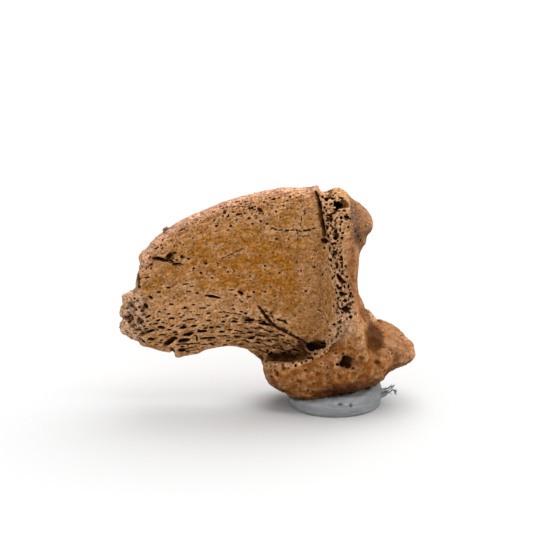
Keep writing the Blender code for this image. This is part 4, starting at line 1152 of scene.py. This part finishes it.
def makeBoneMaterial():
    f = Finish("fossilBone", boneLooks, boneLooks["tan"])
    fine = f.group(grainGroup, "Height", shift=0.01, Size=0.4, Detail=5.0)
    fibre = f.group(grainGroup, "Height", along=True, stretch=(0.3, 1, 1), Size=0.4, Detail=4.0)
    specks = f.group(speckGroup, "Mask", Spacing=0.5, Radius=0.24, Share=0.4)
    patterns = {
        "patches": f.group(stainGroup, "Mask", Size=3.2, Amount=0.5, Edge=0.25),
        "small": f.group(stainGroup, "Mask", shift=0.03, Size=0.9, Amount=0.5, Edge=0.25),
        "flecks": f.group(stainGroup, "Mask", shift=0.06, Size=0.42, Amount=0.42, Edge=0.15),
        "fine": fine,
        "fibre": fibre,
        "specks": specks,
        "rough": f.between(f.mask("base"), 1.0, 0.45),
        "unbroken": f.between(f.mask("broken"), 0.95, 0.7),
        "crustEdge": calc(f.tree, "ADD", f.mask("crust"), f.between(fine, -0.9, 0.9)),
        "shallow": f.times(f.ramp(f.mask("poreDepth"), 0.06, 0.2, 1.0), f.ramp(f.mask("poreDepth"), 1.3, 0.8, 0.95)),
    }

    def paint(layers):
        for look, where, other, *ends in layers:
            first, second = (patterns[name] if name in patterns else f.mask(name) for name in (where, other))
            amount = f.ramp(second, *ends) if len(ends) == 3 else f.between(second, *ends)
            f.layer(boneLooks[look], f.times(first, amount))

    paint(boneLayers)
    tone = f.group(grainGroup, "Tone", Size=0.3, Contrast=f.between(f.mask("base"), 1.1, 0.7))
    streak = f.group(grainGroup, "Tone", along=True, stretch=(0.28, 1, 1), Size=0.35, Contrast=0.9)
    broad = f.group(grainGroup, "Tone", shift=0.02, Size=1.1, Contrast=0.35)
    tones = calc(f.tree, "MULTIPLY", calc(f.tree, "MULTIPLY", tone, streak), broad)
    f.layer(addNode(f.tree, "ShaderNodeCombineColor", {0: tones, 1: tones, 2: tones}).outputs[0], 1.0, "MULTIPLY")
    paint(depthLayers)
    height = calc(f.tree, "ADD", fine, calc(f.tree, "MULTIPLY", fibre, f.between(f.mask("base"), 0.9, 0.2)))
    height = calc(f.tree, "SUBTRACT", height, calc(f.tree, "MULTIPLY", specks, 0.4))
    return f.close(height, boneLooks["bump"])


# The pat of putty
puttySetup = {
    "voxel": 0.2,  # mm
    "softening": 3,
    "relief": [  # size, height, detail, stretch, shift
        (2.6, 0.16, 1.0, (1.0, 1.0, 1.6), 2.0),
        (0.9, 0.14, 2.0, (0.35, 0.35, 3.2), 5.0),
        (0.5, 0.08, 2.0, (0.4, 0.4, 2.2), 9.0),
    ],
    "wisps": [  # x, y in pixels and radius in mm along each loose strand at the right end
        [(378, 396, 0.5), (382.4, 394.2, 0.34), (386.4, 391.6, 0.16), (389.6, 389.6, 0.09),
         (392.4, 387, 0.15), (394.4, 384.6, 0.05)],
        [(378, 397.5, 0.4), (385, 394.8, 0.15), (389.6, 391.8, 0.08), (393, 389.4, 0.16),
         (395.4, 391, 0.2), (395.8, 394.6, 0.06)],
        [(379, 391.5, 0.45), (384, 389.6, 0.22), (387.6, 388.4, 0.08), (390.6, 386.6, 0.17), (391.6, 384.6, 0.05)],
        [(380, 394, 0.3), (386, 393, 0.09), (390, 392.6, 0.07), (391.6, 394.4, 0.05)],
    ],
    "dimples": [(340.4, 404.4, 2.8, 1.9, 10), (350.8, 405.6, 1.9, 2.4)],
    "dimpleDepth": 0.35,  # mm
    "wispDepth": (-1.2, -0.4, -1.6, -0.8),  # mm, where each lies behind the middle
    "wispSides": 9,
    "wispSteps": 4,  # rings for each corner of the path
    "wispSway": (0.25, 2.3),  # mm, and turns for each corner of the path
    "wispSwell": ((0.3, 1.7), (0.25, 5.1)),  # across twice and once around: share, and turns for each corner
    "contact": 0.04,  # mm left to the bone
    "reach": 0.35,  # mm from the bone within which the putty is drawn to it
    "shade": (3.5, 0.12),  # the painted shadow line there: its strength at the bone, and mm for each 1 that it loses
    "colour": (0.335, 0.348, 0.358),
    "warm": (0.420, 0.420, 0.412),
    "cool": (0.240, 0.262, 0.280),
    "puttyShadeAndSpecks": (0.06, 0.06, 0.06),
    "roughness": 0.5,
    "specular": 0.4,
    "bump": 0.4,  # mm
}


def makePuttyMaterial():
    s = puttySetup
    f = Finish("greyPutty", s, s["colour"])
    f.layer(s["warm"], f.group(stainGroup, "Mask", Size=3.0, Amount=0.48, Edge=0.4))
    streaks = f.group(stainGroup, "Mask", shift=0.05, stretch=(0.4, 0.4, 2.4), Size=1.2, Amount=0.45, Edge=0.3)
    f.layer(s["cool"], streaks)
    # painted shadow along the contact with the bone and painted shade in the dimples
    f.layer(s["puttyShadeAndSpecks"], f.times(f.mask("hidden"), f.mask("hidden"), 0.8))
    f.layer(s["puttyShadeAndSpecks"], f.times(f.group(speckGroup, "Mask", Spacing=0.9, Radius=0.12, Share=0.25), 0.5))
    return f.close(f.group(grainGroup, "Height", Size=0.45, stretch=(0.3, 0.3, 1.8)), s["bump"])


def addWisps(work):  # thin strands of putty that were pulled out, as closed tapered tubes
    s = puttySetup
    sides = s["wispSides"]
    (oval, ovalTurn), (lump, lumpTurn) = s["wispSwell"]
    for path, y in zip(s["wisps"], s["wispDepth"]):
        along = np.linspace(0, len(path) - 1, s["wispSteps"] * len(path))
        px, py, thick = (np.interp(along, range(len(path)), [p[k] for p in path]) for k in range(3))
        sway = s["wispSway"][0] * np.sin(along * s["wispSway"][1] + y)
        centres = [photoPlace(a, b, y + c) for a, b, c in zip(px, py, sway)]
        rings = []
        for n, centre in enumerate(centres):
            ahead = (centres[min(n + 1, len(centres) - 1)] - centres[max(n - 1, 0)]).normalized()
            side = ahead.cross(Vector((0, 1, 0))).normalized()
            other = ahead.cross(side)
            ring = []
            for k in range(sides):
                turn = 2 * math.pi * k / sides
                swell = 1.0 + oval * math.sin(2 * turn + along[n] * ovalTurn)
                swell += lump * math.sin(along[n] * lumpTurn + turn)
                reach = thick[n] * mm * swell
                ring.append(work.verts.new(centre + (side * math.cos(turn) + other * math.sin(turn)) * reach))
            rings.append(ring)
        made = [work.faces.new(rings[0]), work.faces.new(list(reversed(rings[-1])))]
        for ring, following in zip(rings, rings[1:]):
            for k in range(sides):
                after = (k + 1) % sides
                made.append(work.faces.new((ring[after], ring[k], following[k], following[after])))
        bmesh.ops.recalc_face_normals(work, faces=made)


def makePutty(bone, material):
    s = puttySetup
    putty = roughCopy("puttyPad", "stand_putty", s["voxel"], s["softening"])
    mesh = putty.data
    points, normals = placesAndNormals(mesh)
    setAttribute(mesh, "free", softStep(points[:, 2] / mm, 0.05, 0.5))  # no relief where it lies on the table
    dimple = largest(*toPhoto(points), s["dimples"], 0.6)
    points -= normals * dimple[:, None] * s["dimpleDepth"] * mm
    movePoints(mesh, points)
    addRelief(putty, material, ("Size", "Height", "Detail", "Stretch", "Shift"), s["relief"], Mask="free")
    applyModifiers(putty)
    mesh = putty.data
    surface = surfaceOf(bone)
    points = vectors(mesh.vertices, "co")
    # painted shade in the dimples, then a painted shadow line where the putty meets the bone
    hidden = largest(*toPhoto(points), s["dimples"], 0.5)
    for n, point in enumerate(points):
        spot, normal, _, far = surface.find_nearest(point, 2 * s["reach"] * mm)
        if spot is not None:
            hidden[n] = max(hidden[n], s["shade"][0] - far / (s["shade"][1] * mm))
            if far < s["reach"] * mm:
                points[n] = spot + normal * s["contact"] * mm
    setAttribute(mesh, "hidden", np.minimum(hidden, 1.0))
    points[:, 2] = np.maximum(points[:, 2], 0.0)
    movePoints(mesh, points)
    with meshWork(mesh) as work:
        addWisps(work)
    mesh.shade_smooth()
    print("putty:", triangles(mesh), "triangles")
    return putty


# Stage
stageSetup = {
    "floorSize": 8.0,  # m
    "floor": {"Base Color": (0.56, 0.56, 0.56, 1.0), "Roughness": 0.9, "Specular IOR Level": 0.1},
    "world": 0.55,
    "sun": {"tilt": (-16, 20), "angle": 80, "strength": 4.15},  # degrees, degrees
    "front": {"tilt": (55, -5), "angle": 60, "strength": 0.5},
}


def addSun(name, tilt, angle, strength):  # tilt is towards the camera, then towards the right
    light = bpy.data.lights.new(name, "SUN")
    light.angle = math.radians(angle)
    light.energy = strength
    made = newObject(name, light)
    made.rotation_euler = (math.radians(tilt[0]), math.radians(tilt[1]), 0)


def makeStage():
    bpy.ops.mesh.primitive_plane_add(size=stageSetup["floorSize"])
    floor = bpy.context.object
    floor.name = "paleFloor"
    material = bpy.data.materials.new("paleFloor")
    material.use_nodes = True
    shader = material.node_tree.nodes["Principled BSDF"]
    for name, value in stageSetup["floor"].items():
        shader.inputs[name].default_value = value
    floor.data.materials.append(material)
    world = bpy.data.worlds.new("studio")
    world.use_nodes = True
    world.node_tree.nodes["Background"].inputs["Color"].default_value = (1, 1, 1, 1)
    world.node_tree.nodes["Background"].inputs["Strength"].default_value = stageSetup["world"]
    bpy.context.scene.world = world
    for name in ("sun", "front"):
        addSun(name + "Light", **stageSetup[name])
    bpy.context.scene.view_settings.view_transform = "Standard"


def makeCamera():
    data = bpy.data.cameras.new("camera")
    data.sensor_width = viewSetup["sensor"]
    data.lens = viewSetup["sensor"] / (viewSetup["photoSize"] * pixelSlope)
    data.clip_start = viewSetup["clipStart"]
    camera = newObject("camera", data)
    camera.location = Vector(viewPoint)
    camera.rotation_euler = Vector(viewAhead).to_track_quat("-Z", "Y").to_euler()
    bpy.context.scene.camera = camera


def finishBone(bone, material, uncut):
    keepLargestBody(bone.data)
    count = triangles(bone.data)
    if count > boneForm["mostTriangles"]:
        thin = bone.modifiers.new("thin", "DECIMATE")
        thin.ratio = boneForm["thinnedTo"] / count
        applyModifiers(bone)
    bone.data.materials.clear()
    bone.data.materials.append(material)
    storeMasks(bone.data)
    storeShadeAndWear(bone, uncut)
    bone.data.shade_smooth()
    bone.data.set_sharp_from_angle(angle=math.radians(boneForm["sharpAngle"]))
    print("bone:", triangles(bone.data), "triangles, from", count)


makeCamera()
boneMaterial, puttyMaterial = makeBoneMaterial(), makePuttyMaterial()
bone = makeBoneForm(boneMaterial)
uncut = filledSurface(bone.data)
cutPits(bone, boneMaterial)
finishBone(bone, boneMaterial, uncut)
putty = makePutty(bone, puttyMaterial)
makeStage()

for piece, node, slotName in ((bone, "claw_bone", "bone"), (putty, "stand_putty", "putty")):
    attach(piece, "root")
    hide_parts(node)
